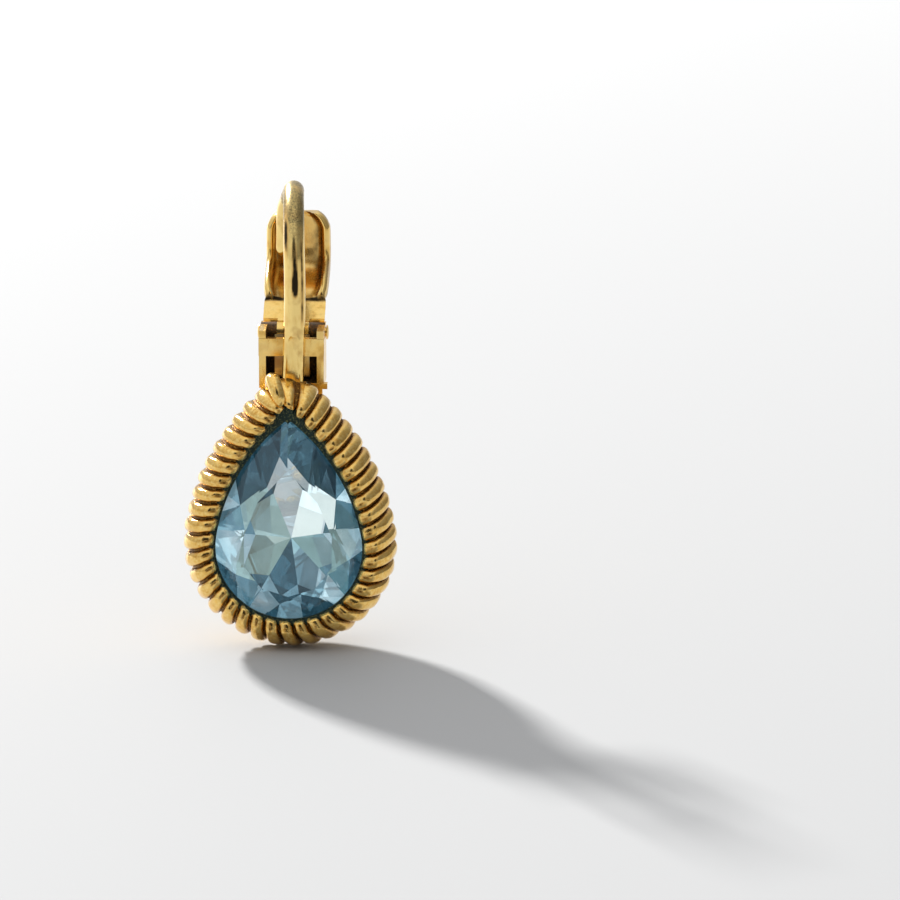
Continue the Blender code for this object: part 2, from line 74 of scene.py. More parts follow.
# Border of coiled wire and the collet behind it
LIP_OVER_STONE = 0.25
BORDER_WIDTH = 2.2
BORDER_DEPTH = 3.0
RIB_COUNT = 40
RIB_DEPTH = 0.42
RIB_LEAN = 0.75
WIRE_SHARE = 0.435
WIRE_FLATNESS = 2.3
TIP_FILL = 0.3
COLLET_PAST_CULET = 0.1
COLLET_WALL = 0.65
COLLET_EDGE = 0.08
LIP_BACK_GAPS = 2.2
SHARPEST_RADIUS = 0.3
WIDEST_SHARE = 0.46

# Ear hook
WIRE_DIAMETER = 1.42
CROWN_DIAMETER = 1.34
ARCH_RADIUS = 3.9
LIP_TO_WIRE = 3.5
TIP_DROP = 5.25
SIDE_BEND = 0.8
FOOT_BELOW_APEX = 1.75
FLAT_HEIGHT = 2.7
FLAT_DEPTH = 0.2
FLAT_FADE = 0.6
HOOK_TIP_STEP = 8

# Dark marks on the hook's wire: a slot and a line that are painted reflections, and a strip of patina. Places
# across it as shares of its radius, heights, and strengths.
REFLECTION_SLOT_ACROSS, REFLECTION_SLOT_REACH = 0.10, 0.42
REFLECTION_SLOT_HEIGHTS = (-6.15, -2.1)
REFLECTION_SLOT_END, REFLECTION_SLOT_FADE = 0.8, 3.2
REFLECTION_SLOT_FILL, REFLECTION_SLOT_STRENGTH = 2.4, 1.1
STRIP_ACROSS, STRIP_REACH = -0.72, 0.34
STRIP_HEIGHTS, STRIP_SPREAD = (-3.4, -0.3), 0.7
STRIP_STRENGTH = 1.1
REFLECTION_LINE_ACROSS, REFLECTION_LINE_REACH = 0.74, 0.24
REFLECTION_LINE_HEIGHTS, REFLECTION_LINE_SPREAD = (-8.6, -1.2), 0.6
REFLECTION_LINE_FILL = 1.6

# Wear on the hook's wire begins this far below the crown, and is weaker at the back of the arch.
# The reaches say how far back the dark marks and full wear go, as shares of ARCH_RADIUS.
WORN_BELOW, WORN_FADE = 2.6, 1.6
MARKS_REACH, WEAR_REACH = 0.5, 1.6
WEAR_BEHIND = 0.3

# Hinge box
BOX_WIDTH = 4.2
EAR_THICKNESS = 0.45
STRAP_THICKNESS = 0.45
STRAP_HEIGHT = 1.15
BASE_THICKNESS = 0.35
BASE_OVERHANG = 0.22
BASE_BELOW_PIN = 2.9
BOX_WALL = 0.27
WALL_BELOW_KNUCKLE = 0.2
BRACKET_WIDTH = 4.0
BRACKET_DROP = 1.0
WINDOW_PLACE = 1.45
WINDOW_WIDTH = 0.34
WINDOW_DROPS = (0.62, 0.12)
EAR_TOP = 0.9
BOX_EDGE = 0.06
# How far into the ears the painted shade inside the box reaches, as a share of their thickness.
SHADE_INTO_EAR = 0.25
SOLDER = 0.1
PLATE_BITE = 0.02
STRAP_ABOVE_PIN = 0.05
STRAP_PROUD = 0.06

# Hinge and spring
PIN_DIAMETER = 0.6
PIN_HEAD_DIAMETER = 0.95
PIN_HEAD_THICKNESS = 0.14
# The pin's head from its top down, as shares of its thickness and radius
PIN_HEAD_PROFILE = ((1.0, 0.35), (0.85, 0.75), (0.5, 0.96), (0.25, 1.0), (0.0, 0.97))
PIN_CLEARANCE = 0.07
EAR_WALL = 0.26
KNUCKLE_WALL = 0.36
KNUCKLE_WIDTH = 2.06
BOSS_GAP = 0.03
SPRING_THICKNESS = 0.18
SPRING_WIDTH = 2.26
SPRING_GAP = 0.3
SPRING_LEAN = 0.27
SPRING_BEND = 0.25
SPRING_CORNER = 0.3
SPRING_EDGE = 0.03
SPRING_FOOT_SHORT = 0.4
FOOT_GAP = 0.12

# Lever
LEVER_WIDTH = 4.0
LEVER_THICKNESS = 0.4
LEVER_RIM = 0.75
LEVER_RIM_WIDTH = 0.56
LEVER_CORNER = 0.3
LEVER_TOP_DROP = 2.4
CUP_GAP = 0.3
BAND_START_REACH = 0.82
BAND_START_RISE = 0.54
BAND_REACH = 2.5
BAND_RISE = 1.55
CUP_BEND_BELOW_ARCH = 0.7
BEND_PULL = 0.45
TONGUE_SLOPE = 34.0
TONGUE_INSET = 0.001
TONGUE_PAST = 0.3
TONGUE_SHARES = (0.5, 0.75)
KNUCKLE_EDGE = 0.04
LEVER_STEPS = 96
LOOK_ALONG = 0.025

# Marks on the lever: a dark seam line and painted shade on its bend at shares of its length, painted shade on
# its outer sides, and a darker cup hollow. The painted shade on the bend dims the lamp's highlight there.
SEAM_SHARE, SEAM_REACH = 0.185, 0.035
OUTSIDE_SHADE = 0.65
SIDE_FROM = 0.8
SIDE_DEPTH = 0.01
CUP_DARKENING = 0.74
CUP_FILL = 1.4
BEND_SHARE, BEND_REACH = 0.45, 0.26

# Places that follow from the sizes
BORDER_OUTSET = BORDER_WIDTH - LIP_OVER_STONE
WIRE_Y = -ARCH_RADIUS
LIP_Y = WIRE_Y - LIP_TO_WIRE
CENTRE_Z = STONE_LOW.z + STONE_WIDTH / 2
APEX_Z = CENTRE_Z + BORDER_OUTSET + (STONE_HEIGHT - STONE_WIDTH / 2)
STRAP_FRONT_Y = WIRE_Y + WIRE_DIAMETER / 2 - SOLDER
STRAP_BACK_Y = STRAP_FRONT_Y + STRAP_THICKNESS
SPRING_Y = STRAP_BACK_Y + SPRING_GAP
KNUCKLE_RADIUS = PIN_DIAMETER / 2 + PIN_CLEARANCE + KNUCKLE_WALL
EAR_RADIUS = PIN_DIAMETER / 2 + PIN_CLEARANCE + EAR_WALL
PIN_Y = (PIN_LOW.y + PIN_HIGH.y) / 2
PIN_Z = (PIN_LOW.z + PIN_HIGH.z) / 2
BASE_TOP_Z = PIN_Z - BASE_BELOW_PIN
BOX_BACK_Y = PIN_Y + EAR_RADIUS
CUP_Y = ARCH_RADIUS + CROWN_DIAMETER / 2 + CUP_GAP + LEVER_THICKNESS / 2
CULET_DEPTH = GIRDLE_FRONT + GIRDLE_THICKNESS + PAVILION_DEPTH
COLLET_BACK = CULET_DEPTH + COLLET_PAST_CULET

# The border's section, from the lip's inner edge over the front to the back.
# Inward and depth are shares of BORDER_WIDTH and BORDER_DEPTH, rib and lean of RIB_DEPTH and RIB_LEAN.
BORDER_SECTION = (
    # inward, depth, rib, lean
    (1.00, 0.165, 0.00, -0.55),
    (0.96, 0.160, 0.00, -0.50),
    (0.93, 0.130, 0.15, -0.45),
    (0.90, 0.075, 0.80, -0.40),
    (0.84, 0.030, 1.00, -0.34),
    (0.70, 0.005, 1.00, -0.25),
    (0.57, 0.000, 1.00, -0.15),
    (0.43, 0.050, 1.00, -0.03),
    (0.25, 0.185, 1.00, 0.12),
    (0.09, 0.400, 1.00, 0.30),
    (0.00, 0.680, 1.00, 0.45),
    (0.05, 0.880, 0.60, 0.50),
    (0.24, 0.980, 0.00, 0.30),
)
SECTION_STEPS = 4

# The tip of the lip: how far it hoods the stone there, and how far the turns' ends keep back from its edge.
HOOD = 0.50
SHELF = 0.50
HOOD_FROM = 0.75
TIP_NARROWING = 3
RIGHT_FLANK_LESS, LEFT_FLANK_MORE = 0.75, 0.30

# How the turns differ: ranges of their height, slip along the coil in pitches, twist, width and the depth of
# the dark spot painted on each as a reflection.
SEED = 7
TURN_HEIGHTS = (0.93, 1.0)
TURN_SLIPS = (-0.035, 0.035)
TURN_TWISTS = (0.90, 1.10)
TURN_WIDTHS = (0.95, 1.04)
REFLECTION_SPOT_DEPTHS = (0.55, 0.95)

# The wire's uneven surface, and the place of an odd turn's dent as a share of the section.
WOBBLE = 0.10
WOBBLE_STARTS = (0.0, 50.0)
WOBBLE_ACROSS, WOBBLE_ALONG = 1.6, 1.3
DENT_PLACE, DENT_REACH = 0.45, 0.12

# The dark spot on each turn, a painted reflection, as shares of BORDER_WIDTH and of the pitch.
REFLECTION_SPOT_INWARD, REFLECTION_SPOT_LENGTH = 0.72, 0.20
REFLECTION_SPOT_SHARE, REFLECTION_SPOT_BREADTH = -0.04, 0.17

ROUND_END_REACH = 0.10
CREST_INWARD = 0.60

# Where the painted shade beside the stone begins and is full on the section, as shares of BORDER_WIDTH, and
# what adds to it. It is dark green, a painted reflection of the stone.
GAP_SHADE_FROM, GAP_SHADE_FULL = 0.82, 0.93
GAP_SHADE_IN_HOLLOWS, GAP_SHADE_AT_TIP, GAP_SHADE_LESS = 0.35, 0.45, 0.30
SEAT_ROWS = 3
COLLET_GRIME = 0.25
PLAIN_GRIME = 0.35

# Stations over one turn of the coil, as shares of the pitch: close together at the wire's edges.
RIB_STATIONS = (
    -0.500, -0.475, -0.450, -0.430, -0.410, -0.385, -0.350, -0.300, -0.240, -0.165, -0.085,
    0.000, 0.085, 0.165, 0.240, 0.300, 0.350, 0.385, 0.410, 0.430, 0.450, 0.475,
)

# Turns that stand out from the even coil, numbered counter-clockwise from the tip.
ODD_TURNS = {
    # number: (height, dent)
    30: (0.97, 0.30),
    22: (0.95, 0.12),
    11: (0.96, 0.10),
}

# Sideways bend of the hook's wire to +X, as shares of SIDE_BEND: the foot at 0, the crown at 1, the tip at 2.
HOOK_BEND = (
    # place, bend
    (0.00, 0.12),
    (0.45, 0.36),
    (0.75, 0.25),
    (1.00, 0.00),
    (1.20, -0.12),
    (1.40, -0.48),
    (1.60, -0.88),
    (2.00, -1.00),
)

# The lever's sections along its length, widths as shares of half LEVER_WIDTH, rims of LEVER_RIM.
LEVER_SECTIONS = (
    # share of length, width, rim
    (0.000, 1.00, 0.00),
    (0.170, 1.00, 0.00),
    (0.190, 0.97, 0.25),
    (0.215, 0.98, 0.60),
    (0.260, 1.03, 0.80),
    (0.360, 1.05, 0.95),
    (0.460, 1.05, 1.00),
    (0.560, 1.05, 1.00),
    (0.660, 1.05, 1.00),
    (0.760, 1.05, 1.00),
    (0.880, 1.04, 0.97),
    (0.915, 1.00, 0.93),
    (0.950, 0.92, 0.88),
    (0.980, 0.81, 0.82),
    (1.000, 0.68, 0.74),
)

# The lever's rim in section, from its outer side to the hollow, in shares of its width and height.
RIM_SHAPE = (
    # inward, rise, hollowness
    (0.00, 0.25, 0.00),
    (0.04, 0.55, 0.00),
    (0.13, 0.78, 0.00),
    (0.28, 0.94, 0.00),
    (0.46, 1.00, 0.00),
    (0.64, 0.96, 0.00),
    (0.80, 0.84, 0.05),
    (0.93, 0.62, 0.30),
    (1.02, 0.38, 0.70),
    (1.15, 0.14, 0.95),
    (1.60, 0.02, 1.00),
)

# Crown facets: directions of the mains from the tip, clockwise, and the knees between them.
CROWN_MAINS = (0.0, 30.0, 70.0, 110.0, 145.0, 180.0, 215.0, 250.0, 290.0, 330.0)
KNEE_SHARE = 0.80
KNEE_HEIGHT = 0.52
GIRDLE_STEPS = 144

# Pavilion facets: the mains, with the corner that each reaches towards the girdle and the elbow between it
# and the next, clockwise from the tip. A reach is a share of the way from the culet to the girdle. Each
# facet's painted light stands in for the reflections that it throws back.
PAVILION_MAINS = (
    # direction, reach, painted light, painted warm glint, elbow direction, elbow reach, painted light of the
    # two halves after the elbow
    (-4.0, 0.64, 0.88, 0.00, 13.0, 0.47, 0.34, 0.08),
    (43.0, 0.66, 1.00, 0.00, 74.0, 0.44, 0.22, 0.74),
    (104.0, 0.72, 0.46, 0.12, 132.0, 0.50, 0.34, 0.78),
    (152.0, 0.70, 0.58, 0.00, 170.0, 0.56, 0.20, 0.62),
    (190.0, 0.70, 0.34, 0.00, 212.0, 0.52, 0.72, 0.26),
    (240.0, 0.72, 0.44, 0.22, 282.0, 0.46, 0.76, 0.50),
    (310.0, 0.66, 0.60, 0.20, 342.0, 0.47, 0.10, 0.26),
)
ELBOW_DEEPER = 1.06
# Painted light of the small facets round the rim, standing in for their reflections.
RIM_FACET_LIGHTS = (0.12, 0.66, 0.30, 0.42, 0.22, 0.80, 0.10)


def link(thing):
    bpy.context.scene.collection.objects.link(thing)
    return thing


def clamp(value):
    return max(0.0, min(value, 1.0))


def blend(table, place, column):
    """A table's column at this place, in a straight line between its rows."""
    for low, high in zip(table, table[1:]):
        if place <= high[0]:
            part = (place - low[0]) / (high[0] - low[0])
            return low[column] + (high[column] - low[column]) * max(part, 0.0)
    return table[-1][column]


def smooth_rows(rows, steps):
    """Rows of numbers with steps - 1 more between each two, on a smooth curve through them."""
    made = []
    last = len(rows) - 1
    for i in range(last):
        before, a, b, after = rows[max(i - 1, 0)], rows[i], rows[i + 1], rows[min(i + 2, last)]
        for k in range(steps):
            t = k / steps
            row = []
            for p, q, r, s in zip(before, a, b, after):
                square = 2 * p - 5 * q + 4 * r - s
                cube = 3 * q - 3 * r + s - p
                row.append((2 * q + (r - p) * t + square * t * t + cube * t**3) / 2)
            made.append(tuple(row))
    made.append(tuple(rows[-1]))
    return made


def loft(rings, closed=False):
    """A skin over rings of as many points each, closed on itself or capped at both ends."""
    bm = bmesh.new()
    loops = [[bm.verts.new(point) for point in ring] for ring in rings]
    count = len(loops[0])
    pairs = list(zip(loops, loops[1:]))
    if closed:
        pairs.append((loops[-1], loops[0]))
    for first, second in pairs:
        for i in range(count):
            j = (i + 1) % count
            bm.faces.new((first[i], first[j], second[j], second[i]))
    if not closed:
        bm.faces.new(reversed(loops[0]))
        bm.faces.new(loops[-1])
    return bm


def box(low, high):
    bm = bmesh.new()
    size = [b - a for a, b in zip(low, high)]
    middle = [(a + b) / 2 for a, b in zip(low, high)]
    bmesh.ops.create_cube(bm, size=1.0)
    bmesh.ops.scale(bm, verts=bm.verts, vec=size)
    bmesh.ops.translate(bm, verts=bm.verts, vec=middle)
    return bm


def slab(half, y_ends, z_ends):
    """A box as wide on either side of the middle."""
    return box((-half, y_ends[0], z_ends[0]), (half, y_ends[1], z_ends[1]))


def rod(radius, x_from, x_to, y, z):
    """A cylinder along X."""
    bm = bmesh.new()
    turn = Matrix.Rotation(math.pi / 2, 4, "Y")
    place = Matrix.Translation(((x_from + x_to) / 2, y, z)) @ turn
    size = {"radius1": radius, "radius2": radius, "depth": x_to - x_from}
    bmesh.ops.create_cone(bm, cap_ends=True, segments=ROD_SIDES, matrix=place, **size)
    return bm


def mesh_object(name, bm, finishes, sharp=35.0):
    """An object of this mesh, which is given in millimetres."""
    bmesh.ops.recalc_face_normals(bm, faces=bm.faces)
    bmesh.ops.scale(bm, verts=bm.verts, vec=(MM, MM, MM))
    mesh = bpy.data.meshes.new(name)
    bm.to_mesh(mesh)
    bm.free()
    for finish in finishes:
        mesh.materials.append(finish)
    if sharp:
        mesh.shade_smooth()
        mesh.set_sharp_from_angle(angle=math.radians(sharp))
    return link(bpy.data.objects.new(name, mesh))


def combine(thing, name, bm, operation):
    """Joins a shape to the thing, or cuts it from it."""
    other = mesh_object(name, bm, (), sharp=0)
    boolean = thing.modifiers.new(name, "BOOLEAN")
    boolean.operation = operation
    boolean.solver = "EXACT"
    boolean.object = other


def apply_modifiers(thing):
    """Keeps the mesh that the modifiers make, and removes the shapes that they used."""
    used = [m.object for m in thing.modifiers if m.type == "BOOLEAN"]
    graph = bpy.context.evaluated_depsgraph_get()
    mesh = bpy.data.meshes.new_from_object(thing.evaluated_get(graph))
    thing.modifiers.clear()
    thing.data = mesh
    for other in used:
        bpy.data.objects.remove(other)


def soften(thing, width, segments=3):
    """Rounds the sharp edges."""
    bevel = thing.modifiers.new("edges", "BEVEL")
    bevel.width = width * MM
    bevel.segments = segments
    bevel.limit_method = "ANGLE"
    bevel.angle_limit = math.radians(SHARP_EDGE)


def seat(piece, body, slot, *replaced):
    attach(piece, body)
    if replaced:
        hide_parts(*replaced)
    return piece


class Nodes:
    """A short way to write the nodes that lead to one shader."""

    def __init__(self, owner, shader="Principled BSDF"):
        owner.use_nodes = True
        self.owner = owner
        self.tree = owner.node_tree
        self.shader = self.tree.nodes[shader]

    def add(self, kind, **values):
        node = self.tree.nodes.new(kind)
        for key, value in values.items():
            setattr(node, key, value)
        return node

    def join(self, source, target):
        self.tree.links.new(source, target)

    def feed(self, name, source):
        self.join(source, self.shader.inputs[name])

    def noise(self, scale, detail=3.0, roughness=0.55, stretch=None):
        """Noise over the object's own coordinates, with scale in lumps per metre."""
        place = self.add("ShaderNodeTexCoord")
        texture = self.add("ShaderNodeTexNoise")
        for name, value in (("Scale", scale), ("Detail", detail), ("Roughness", roughness)):
            texture.inputs[name].default_value = value
        source = place.outputs["Object"]
        if stretch:
            mapping = self.add("ShaderNodeMapping")
            mapping.inputs["Scale"].default_value = stretch
            self.join(source, mapping.inputs["Vector"])
            source = mapping.outputs["Vector"]
        self.join(source, texture.inputs["Vector"])
        return texture.outputs["Fac"]

    def attribute(self, name):
        return self.add("ShaderNodeAttribute", attribute_name=name).outputs["Fac"]

    def ramp(self, source, *stops):
        """Colours at places along 0 to 1."""
        node = self.add("ShaderNodeValToRGB")
        elements = node.color_ramp.elements
        while len(elements) < len(stops):
            elements.new(0.5)
        for element, (place, colour) in zip(elements, stops):
            element.position = place
            element.color = (*colour, 1.0)
        self.join(source, node.inputs["Fac"])
        return node.outputs["Color"]

    def spread(self, source, low, high, to_low=0.0, to_high=1.0, shape="LINEAR"):
        node = self.add("ShaderNodeMapRange", interpolation_type=shape)
        ends = (("From Min", low), ("From Max", high), ("To Min", to_low), ("To Max", to_high))
        for name, value in ends:
            node.inputs[name].default_value = value
        self.join(source, node.inputs["Value"])
        return node.outputs["Result"]

    def vary(self, texture, to_low, to_high):
        """A noise spread so that most of it runs between these two values."""
        return self.spread(texture, 0.3, 0.7, to_low, to_high)

    def vector(self, operation, source, other=(0.0, 0.0, 0.0)):
        node = self.add("ShaderNodeVectorMath", operation=operation)
        self.join(source, node.inputs[0])
        node.inputs[1].default_value = other
        return node.outputs["Value" if operation == "DOT_PRODUCT" else "Vector"]

    def maths(self, operation, a, b):
        node = self.add("ShaderNodeMath", operation=operation)
        for socket, value in zip(node.inputs, (a, b)):
            if isinstance(value, (int, float)):
                socket.default_value = value
            else:
                self.join(value, socket)
        return node.outputs[0]

    def mix(self, share, a, b):
        node = self.add("ShaderNodeMix", data_type="RGBA")
        for index, value in ((0, share), (6, a), (7, b)):
            if isinstance(value, (tuple, float, int)):
                node.inputs[index].default_value = (*value, 1.0) if isinstance(value, tuple) else value
            else:
                self.join(value, node.inputs[index])
        return node.outputs[2]

    def bump(self, height, strength, distance):
        node = self.add("ShaderNodeBump")
        node.inputs["Strength"].default_value = strength
        node.inputs["Distance"].default_value = distance * MM
        self.join(height, node.inputs["Height"])
        self.feed("Normal", node.outputs["Normal"])

    def set(self, name, value):
        if isinstance(value, tuple):
            value = (*value, 1.0)
        self.shader.inputs[name].default_value = value


def new_finish(name):
    return Nodes(bpy.data.materials.new(name))


GOLD = (0.90, 0.58, 0.16)
PALE_GOLD = (0.97, 0.72, 0.27)
DEEP_GOLD = (0.68, 0.38, 0.08)
# Patina in the coil's hollows; also painted dark reflections on its turns and painted shade inside the hinge
# box.
PATINA_SHADE_AND_REFLECTION = (0.150, 0.070, 0.016)
BROWN = (0.34, 0.15, 0.03)
# Painted shade beside the stone, dark green as a painted reflection of the stone, with mossy specks.
GAP_SHADE_GREEN = (0.012, 0.026, 0.020)
MOSS = (0.16, 0.17, 0.07)
TAN = (0.50, 0.38, 0.22)
AMBER = (0.80, 0.52, 0.17)
OLIVE = (0.18, 0.145, 0.07)
# Painted shade inside the hinge box, the dark of painted reflections and patina on the hook's wire, and the
# darker cup of the lever.
SOOT_SHADE_AND_REFLECTION = (0.030, 0.022, 0.012)
# Painted warm glints on some pavilion facets, in colour and in glow.
WARM_GLINT_COLOUR = (0.98, 0.94, 0.66)
PAINTED_WARM_GLOW = (0.95, 0.92, 0.50)
STREAK_STRETCH = (1.0, 1.0, 0.25)


def coil_gold():
    """Bright gold on the crests, grainy brown patina between the turns with a painted dark reflection spot on
    each, and painted shade beside the stone, dark green as a painted reflection of the stone.
    """
    nodes = new_finish("antiqued_gold")
    patches = nodes.noise(900.0)
    specks = nodes.noise(5200.0, 4.0, 0.65)
    grains = nodes.noise(9000.0, 2.0, 0.5)
    gold = nodes.mix(nodes.spread(patches, 0.35, 0.65), DEEP_GOLD, GOLD)
    gold = nodes.mix(nodes.spread(specks, 0.42, 0.70), gold, PALE_GOLD)
    # Patina between the turns, and a painted dark reflection spot on each turn.
    dark_mask = nodes.maths("ADD", nodes.attribute("darkening"), nodes.vary(specks, -0.16, 0.16))
    dark = nodes.spread(dark_mask, 0.46, 0.76)
    gold = nodes.mix(nodes.spread(dark_mask, 0.14, 0.50, 0.0, 0.65), gold, BROWN)
    glints = nodes.spread(grains, 0.52, 0.68, 0.0, 0.75)
    gold = nodes.mix(dark, gold, nodes.mix(glints, PATINA_SHADE_AND_REFLECTION, DEEP_GOLD))
    # Painted shade beside the stone, dark green as a painted reflection of the stone.
    green = nodes.maths("ADD", nodes.attribute("gap_shade"), nodes.vary(specks, -0.22, 0.22))
    green = nodes.spread(green, 0.40, 0.70)
    nodes.feed("Base Color", nodes.mix(green, gold, nodes.mix(glints, GAP_SHADE_GREEN, MOSS)))
    nodes.feed("Metallic", nodes.spread(green, 0.0, 1.0, 1.0, 0.7))
    dull = nodes.maths("MAXIMUM", dark, green)
    gloss = nodes.vary(specks, 0.08, 0.18)
    nodes.feed("Roughness", nodes.maths("ADD", gloss, nodes.spread(dull, 0.0, 1.0, 0.0, 0.36)))
    grain_height = nodes.maths("MULTIPLY", nodes.spread(dull, 0.0, 1.0, 0.3, 3.0), grains)
    relief = nodes.maths("ADD", grain_height, nodes.maths("ADD", specks, patches))
    nodes.bump(relief, 0.50, 0.025)
    return nodes.owner


def bright_gold(name, colour, hollow_colour=BROWN, roughness=0.16):
    """Polished gold plate with drawn streaks, specks, patina in its hollows, painted dark reflections, and
    dull olive places that are rubbed metal and painted shade.
    """
    nodes = new_finish(name)
    streaks = nodes.noise(3500.0, 3.0, 0.5, STREAK_STRETCH)
    patches = nodes.noise(700.0, 4.0)
    specks = nodes.noise(12000.0, 2.0)
    gold = nodes.mix(nodes.spread(patches, 0.38, 0.64), colour, PALE_GOLD)
    gold = nodes.mix(nodes.spread(streaks, 0.55, 0.75, 0.0, 0.35), gold, DEEP_GOLD)
    rubbed = nodes.spread(specks, 0.36, 0.62, 0.45, 1.0)
    # Olive and dull: wear on the hook's wire, painted shade on the lever.
    wear_and_shade = nodes.maths("MULTIPLY", nodes.attribute("wear_and_shade"), rubbed)
    gold = nodes.mix(wear_and_shade, gold, OLIVE)
    # Darkening: patina, painted dark reflections on the hook's wire, and the darker cup and seam line of the
    # lever.
    dark_mask = nodes.maths("ADD", nodes.attribute("darkening"), nodes.vary(patches, -0.24, 0.24))
    gold = nodes.mix(nodes.spread(patches, 0.52, 0.66, 0.0, 0.5), gold, AMBER)
    gold = nodes.mix(nodes.spread(patches, 0.28, 0.44, 0.5, 0.0), gold, BROWN)
    gold = nodes.mix(nodes.spread(dark_mask, 0.10, 0.55), gold, AMBER)
    filled = nodes.spread(dark_mask, 0.55, 1.0)
    nodes.feed("Base Color", nodes.mix(filled, gold, hollow_colour))
    nodes.set("Metallic", 1.0)
    dull = nodes.maths("MULTIPLY", nodes.maths("MAXIMUM", filled, wear_and_shade), 0.22)
    gloss = nodes.vary(streaks, roughness - 0.05, roughness + 0.06)
    nodes.feed("Roughness", nodes.maths("ADD", gloss, dull))
    grain = nodes.maths("MULTIPLY", nodes.spread(wear_and_shade, 0.0, 1.0, 1.0, 4.0), specks)
    nodes.bump(nodes.maths("ADD", streaks, grain), 0.15, 0.012)
    return nodes.owner


def box_inside_shade():
    """Painted shade: the dark colour inside the hinge box, where shade falls."""
    nodes = new_finish("box_painted_shade")
    grains = nodes.noise(6000.0)
    nodes.feed("Base Color", nodes.ramp(grains, (0.35, PATINA_SHADE_AND_REFLECTION), (0.55, SOOT_SHADE_AND_REFLECTION), (0.75, BROWN)))
    nodes.set("Metallic", 0.6)
    nodes.feed("Roughness", nodes.vary(grains, 0.45, 0.65))
    nodes.bump(grains, 0.3, 0.015)
    return nodes.owner


def paint(piece, name, values):
    """A number for each of the piece's points, which its material reads."""
    piece.data.attributes.new(name, "FLOAT", "POINT").data.foreach_set("value", values)


def pear_arcs():
    """The stone's outline, counter-clockwise from the tip: centre x and z, radius, from and to angle."""
    round_radius = STONE_WIDTH / 2
    rise = STONE_HEIGHT - round_radius - STONE_TIP_RADIUS
    near = STONE_FLANK_RADIUS - round_radius
    far = STONE_FLANK_RADIUS - STONE_TIP_RADIUS
    shoulder = math.asin((far**2 - near**2 - rise**2) / (2 * rise * near))
    flank_x = -near * math.cos(shoulder)
    flank_z = -near * math.sin(shoulder)
    tip = math.atan2(rise - flank_z, -flank_x)
    half, turn = math.pi, 2 * math.pi
    return (
        (0.0, rise, STONE_TIP_RADIUS, half / 2, half - tip),
        (-flank_x, flank_z, STONE_FLANK_RADIUS, half - tip, half - shoulder),
        (0.0, 0.0, round_radius, half - shoulder, turn + shoulder),
        (flank_x, flank_z, STONE_FLANK_RADIUS, turn + shoulder, turn + tip),
        (0.0, rise, STONE_TIP_RADIUS, turn + tip, turn + half / 2),
    )


ARCS = pear_arcs()


def pear_place(distance, outset_of_length):
    """The arc and angle at this distance along the outline set out by that much."""
    lengths = [(arc[2] + outset_of_length) * (arc[4] - arc[3]) for arc in ARCS]
    left = distance % sum(lengths)
    for arc, length in zip(ARCS, lengths):
        if left <= length:
            break
        left -= length
    return arc, arc[3] + left / (arc[2] + outset_of_length)


def pear_length(outset):
    return sum((arc[2] + outset) * (arc[4] - arc[3]) for arc in ARCS)


def border_rows():
    """The section: (outset from the stone's outline, depth behind the lip, rib share, lean share)."""
    rows = []
    for inward, depth, rib, lean in smooth_rows(BORDER_SECTION, SECTION_STEPS):
        rows.append((BORDER_OUTSET - inward * BORDER_WIDTH, depth * BORDER_DEPTH, clamp(rib), lean))
    front = len(rows)
    seat_depth = GIRDLE_FRONT + GIRDLE_THICKNESS
    inner = -LIP_OVER_STONE
    outer = inner + COLLET_WALL
    rows += [
        (outer, BORDER_DEPTH, 0.0, 0.0),
        (outer, COLLET_BACK - COLLET_EDGE, 0.0, 0.0),
        (outer - COLLET_EDGE, COLLET_BACK, 0.0, 0.0),
        (inner + COLLET_EDGE, COLLET_BACK, 0.0, 0.0),
        (inner, COLLET_BACK - COLLET_EDGE, 0.0, 0.0),
        (inner, seat_depth + 2 * STONE_GAP + LIP_OVER_STONE, 0.0, 0.0),
        (STONE_GAP, seat_depth + STONE_GAP, 0.0, -0.1),
        (STONE_GAP, GIRDLE_FRONT - STONE_GAP, 0.0, -0.3),
        (inner, GIRDLE_FRONT - LIP_BACK_GAPS * STONE_GAP, 0.0, -0.5),
    ]
    return rows, front


def tip_share(angle):
    """1 at the pear's tip, falling to 0 at the round end."""
    return max(0.0, math.sin(angle)) ** TIP_NARROWING


def drawn_back(outset, angle, front_row):
    """The outset of a row of the section after the tip's hood and shelf have moved it."""
    inward = (BORDER_OUTSET - outset) / BORDER_WIDTH
    if not front_row or inward <= CREST_INWARD:
        return outset
    reach = (inward - CREST_INWARD) / (1.0 - CREST_INWARD)
    share = tip_share(angle)
    edge = max(0.0, (reach - HOOD_FROM) / (1.0 - HOOD_FROM))
    shift = (SHELF + ROUND_END_REACH) * share - ROUND_END_REACH
    return outset + shift * reach * (1.0 - edge) - share * HOOD * edge


def section_normals(rows):
    normals = []
    for i in range(len(rows)):
        before, after = rows[i - 1], rows[(i + 1) % len(rows)]
        along = Vector((after[0] - before[0], after[1] - before[1])).normalized()
        normals.append(Vector((along[1], -along[0])))
    return normals


def flank_lean(angle):
    """The coil's lean where the outline faces this angle: more up the left flank than up the right."""
    if math.sin(angle) <= 0:
        return 1.0
    sway = math.sin(2 * angle)
    return 1.0 - RIGHT_FLANK_LESS * sway if sway > 0 else 1.0 - LEFT_FLANK_MORE * sway


def wire_height(share, half_width):
    """The height of a turn of round wire across it, 1 at its crest and 0 between the turns."""
    across = abs(share) / half_width
    return (1.0 - across**WIRE_FLATNESS) ** (1.0 / WIRE_FLATNESS) if across < 1.0 else 0.0


